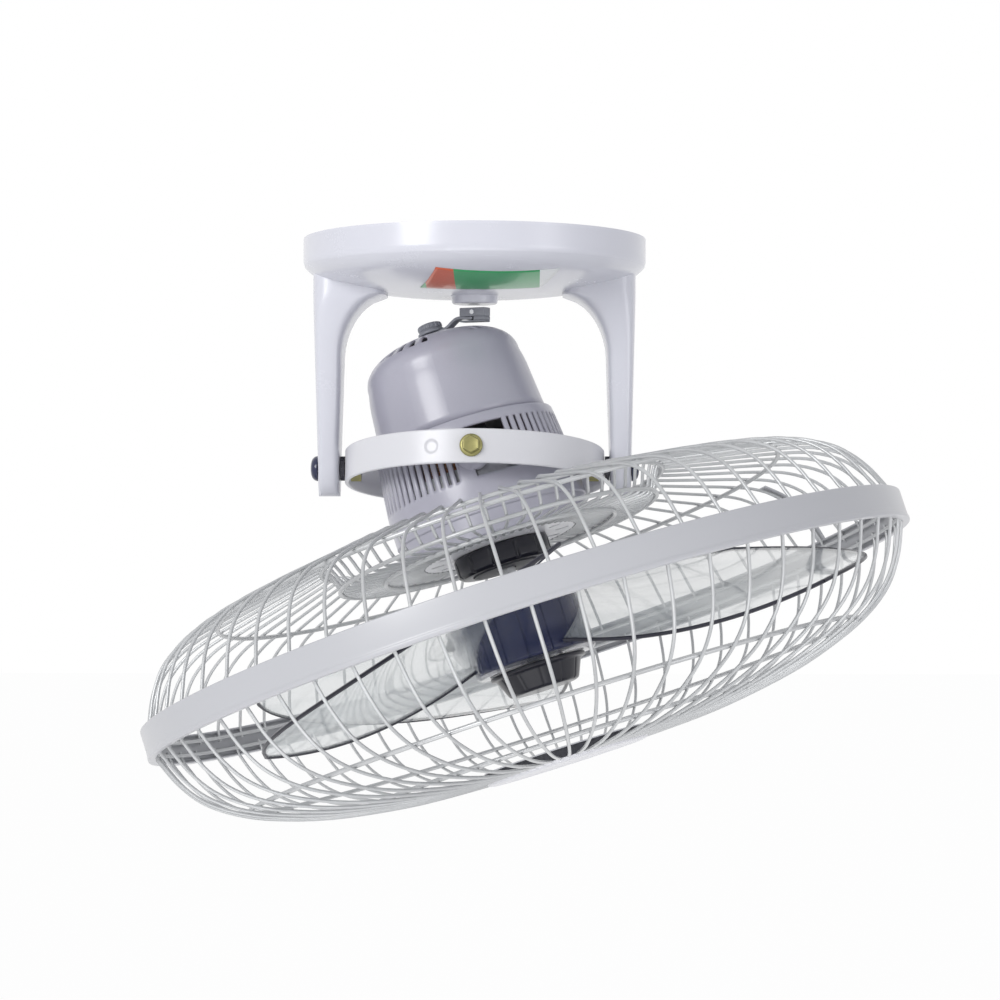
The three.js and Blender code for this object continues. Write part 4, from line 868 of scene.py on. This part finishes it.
def make_fan():
    s = sizes()
    where = guard_frame()
    one, across = blade_shape()
    blades = [moved(one, spin(BLADE_PHASE + 120 * i)) for i in range(3)]
    piece("blades", together(*blades), where, "rotor", "clear_plastic", ["fan_blades"], 50)
    r, top, low = mm(s.hub_radius), 30, -19.6
    shell = [(r - 2.4, top), (r, top), (r, low + 1.4), (r - 1.4, low), (9, low), (9, low + 2.4), (r - 2.4, low + 2.4)]
    hub = piece("hub_shell", lathe(soft(shell, 0.8), even(120), closed=True), where, "rotor", "clear_plastic",
                sharp=34, slots=["hub_clear"])
    use_second_finish(hub)
    # Black tubes along every blade's edges and tip: painted dark reflection, standing for the dark refraction in the
    # clear moulding's edges.
    rim = []
    for i in range(3):
        for side, start in ((0, -64), (across, 30)):
            rim.append(moved(painted_edge_reflection(one, across, side), spin(BLADE_PHASE + 120 * i)))
        rim.append(moved(painted_tip_reflection(one, across), spin(BLADE_PHASE + 120 * i)))
    piece("painted_blade_edge_reflections", together(*rim), where, "rotor", "black_plastic")
    outer = r - 2.4 - 0.3
    core = [(5.1, low + 2.7), (outer - 1.5, low + 2.7), (outer, low + 4), (outer, top - 4), (outer - 1, top - 3),
            (outer - 3, top - 3), (outer - 3, low + 6), (11, low + 6), (11, top - 3), (5.1, top - 3)]
    seams = lambda rad, z, a: rad - 1.1 if rad > outer - 1 and a % 24 < 1.6 else rad
    piece("hub_body", lathe(soft(core, 0.7), even(450), closed=True, shape=seams), where, "rotor", "navy_cap",
          ["hub_core"], 34)
    high = low - 0.3
    cap = [(0, high - 14.6), (19, high - 14.6), (21, high - 13.6), (25.5, high - 3), (28.5, high - 2.4),
           (28.5, high), (5.1, high), (5.1, high - 11), (0, high - 11)]
    flats = lambda rad, z, a: rad - 0.5 if 20 < rad < 26 and a % 30 < 2 else rad
    piece("spinner_cap", lathe(soft(cap, 0.9), even(180), shape=flats), where, "rotor", "black_plastic",
          ["spinner"], 34)


# Path of a painted dark reflection along one side of a blade.
def painted_edge_reflection(one, across, side):
    count = 2 * (across + 1)
    low, high = (0, count - 1) if side == 0 else (across, across + 1)
    rows = len(one[0]) // count
    path = [tuple((Vector(one[0][k * count + low]) + Vector(one[0][k * count + high])) / 2) for k in range(rows)]
    return tube(path, PAINTED_REFLECTION_RADIUS, 6)


# Path of a painted dark reflection along a blade's tip.
def painted_tip_reflection(one, across):
    count = 2 * (across + 1)
    base = len(one[0]) - count
    path = [tuple((Vector(one[0][base + k]) + Vector(one[0][base + count - 1 - k])) / 2) for k in range(across + 1)]
    return tube(path, PAINTED_REFLECTION_RADIUS, 6)


def make_kept():
    """Finishes of the CAD pieces that stay."""
    hidden = {n for o in bpy.data.objects for n in o.get("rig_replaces", [])}
    slots = {
        "ceiling_plate": "zinc_steel", "canopy_screw_left": "zinc_steel", "canopy_screw_right": "zinc_steel",
        "terminal_block": "nylon", "capacitor": "dark_plastic", "swivel_stud": "zinc_steel",
        "swivel_stud_nut": "zinc_steel", "leg_pivot_bush_right": "black_plastic",
        "leg_pivot_bush_left": "black_plastic", "leg_pivot_nut_right": "brass_screw",
        "leg_pivot_nut_left": "brass_screw", "head_pivot_washer_front": "nylon", "head_pivot_washer_back": "nylon",
        "front_shield": "dark_plastic", "rear_bracket": "dark_plastic", "bearing_front": "zinc_steel",
        "bearing_rear": "zinc_steel", "stator_core": "zinc_steel", "stator_coil_rear": "copper_wire",
        "stator_coil_front": "copper_wire", "orbit_motor": "zinc_steel", "orbit_motor_bracket": "zinc_steel",
        "orbit_motor_screw_left": "zinc_steel", "orbit_motor_screw_right": "zinc_steel",
        "rear_guard_plate": "ring_white", "clamp_screw": "zinc_steel", "clamp_nut": "zinc_steel",
        "motor_shaft": "zinc_steel", "rotor_core": "zinc_steel", "output_shaft": "zinc_steel",
        "swivel_pin": "zinc_steel", "drive_pin": "zinc_steel",
    }
    for name, node in frame["nodes"].items():
        if name in hidden:
            continue
        node.data.materials.clear()
        node.data.materials.append(finish(slots[name]))


# ---------- stage ----------
FLOOR_HEIGHT = -1.1
FLOOR_REACH = 9
FLOOR_GLOW = 0.97  # share of the backdrop's white that the floor shows
CAMERA_PLACE = (0.0338, -1.2368, -0.1377)
CAMERA_AIM = (-0.01536, 0.99982, -0.01152)
CAMERA_LENS = 75.84


def area_light(name, place, aim, width, power, colour):
    data = bpy.data.lights.new(name, "AREA")
    data.shape, data.size, data.energy, data.color = "DISK", width, power, colour
    lamp = bpy.data.objects.new(name, data)
    bpy.context.scene.collection.objects.link(lamp)
    lamp.location = place
    lamp.rotation_mode = "QUATERNION"
    lamp.rotation_quaternion = (Vector(aim) - Vector(place)).to_track_quat("-Z", "Y")


def seen_mask(f):
    """1 for what the camera sees directly, in a mirror or through glass."""
    path = lambda name: f.node("ShaderNodeLightPath", output=name)
    total = path("Is Camera Ray") + path("Is Glossy Ray") + path("Is Transmission Ray")
    return f.node("ShaderNodeMath", {"operation": "MINIMUM"}, {0: total, 1: 1.0})


def make_stage():
    scene = bpy.context.scene
    mesh = bpy.data.meshes.new("floor")
    signs = ((-1, -1), (1, -1), (1, 1), (-1, 1))
    corners = [(x * FLOOR_REACH, y * FLOOR_REACH, FLOOR_HEIGHT) for x, y in signs]
    mesh.from_pydata(corners, [], [(0, 1, 2, 3)])
    floor = bpy.data.objects.new("floor", mesh)
    scene.collection.objects.link(floor)
    f = Finish("floor", Roughness=0.9)
    tone = f.noise(3, 3)
    f.set(Base_Color=f.blend(tone, (0.86, 0.86, 0.86, 1), (0.9, 0.9, 0.9, 1)))
    glow = f.tree.nodes.new("ShaderNodeEmission")
    f.mixed(seen_mask(f) * FLOOR_GLOW, f.shader, glow, "Material Output")
    mesh.materials.append(f.material)

    world = bpy.data.worlds.new("studio")
    scene.world = world
    f = Shading(world)
    soft_light = f.tree.nodes["Background"]
    soft_light.inputs["Color"].default_value = (0.93, 0.94, 1.0, 1)
    soft_light.inputs["Strength"].default_value = 0.56
    backdrop = f.tree.nodes.new("ShaderNodeBackground")
    backdrop.inputs["Color"].default_value = (1, 1, 1, 1)
    backdrop.inputs["Strength"].default_value = 1.0
    f.mixed(seen_mask(f), soft_light, backdrop, "World Output")

    area_light("key", (-1.1, -1.5, 0.5), (0, 0, -0.15), 0.9, 17, (1, 1, 1))
    area_light("fill", (1.5, -1.3, -0.2), (0, 0, -0.15), 1.0, 5, (0.97, 0.97, 1))
    area_light("under", (0.0, -0.7, -1.0), (0, 0, -0.1), 1.2, 5, (1, 1, 1))

    data = bpy.data.cameras.new("camera")
    data.lens, data.sensor_width = CAMERA_LENS, 36
    data.clip_start, data.clip_end = 0.05, 60
    camera = bpy.data.objects.new("camera", data)
    scene.collection.objects.link(camera)
    camera.location = CAMERA_PLACE
    camera.rotation_mode = "QUATERNION"
    camera.rotation_quaternion = Vector(CAMERA_AIM).to_track_quat("-Z", "Y")
    scene.camera = camera
    scene.view_settings.view_transform = "Standard"


# ---------- operators and panel ----------
def operator(name, label, description, work):
    """Operator class that makes one piece or group of like pieces."""
    def execute(self, context):
        work()
        return {"FINISHED"}
    return type(f"FAN_OT_{name}", (bpy.types.Operator,), {
        "bl_idname": f"fan.{name}", "bl_label": label, "__doc__": description, "execute": execute})


OPERATORS = [
    operator("yoke", "Yoke", "Canopy, bowl, boss and both legs", make_yoke),
    operator("sticker", "Sticker", "Plain sticker under the bowl", make_sticker),
    operator("leg_bolts", "Leg bolts", "Capped bolts that carry the gimbal ring", make_leg_bolts),
    operator("ring", "Gimbal ring", "White ring round the motor", make_ring),
    operator("head_screws", "Pivot screws", "Hexagon screws that carry the head", make_head_screws),
    operator("housing", "Motor housing", "Slotted shell with its pivot bosses", make_housing),
    operator("cover", "Rear cover", "Domed cover with its vents", make_cover),
    operator("crank", "Crank", "Knob, arm and swivel block", make_crank),
    operator("guards", "Guards", "Wires, hoops and strap of both guards", make_guards),
    operator("clamp", "Clamp ring", "Split band with its ears", make_clamp),
    operator("plates", "Plates", "Front plate and lock nut", make_plates),
    operator("fan", "Fan", "Clear blades, hub and spinner", make_fan),
    operator("kept", "Kept pieces", "Finishes of the CAD pieces that stay", make_kept),
    operator("stage", "Stage", "Floor, backdrop, lamps and camera", make_stage),
]


class FAN_PT_pieces(bpy.types.Panel):
    """Lists the fan's operators, sizes and colours."""
    bl_label = "Orbital Ceiling Fan"
    bl_idname = "FAN_PT_pieces"
    bl_space_type = "VIEW_3D"
    bl_region_type = "UI"
    bl_category = "Fan"

    def draw(self, context):
        for made in OPERATORS:
            self.layout.operator(made.bl_idname)
        for group in (context.scene.fan_sizes, context.scene.fan_colours):
            for name in group.__annotations__:
                self.layout.prop(group, name)


CLASSES = [FanSizes, FanColours, *OPERATORS, FAN_PT_pieces]


def register():
    for made in CLASSES:
        bpy.utils.register_class(made)
    bpy.types.Scene.fan_sizes = bpy.props.PointerProperty(type=FanSizes)
    bpy.types.Scene.fan_colours = bpy.props.PointerProperty(type=FanColours)


def unregister():
    del bpy.types.Scene.fan_colours
    del bpy.types.Scene.fan_sizes
    for made in reversed(CLASSES):
        bpy.utils.unregister_class(made)


def main():
    register()
    for made in OPERATORS:
        getattr(bpy.ops.fan, made.bl_idname.split(".")[1])()


if __name__ == "__main__":
    main()
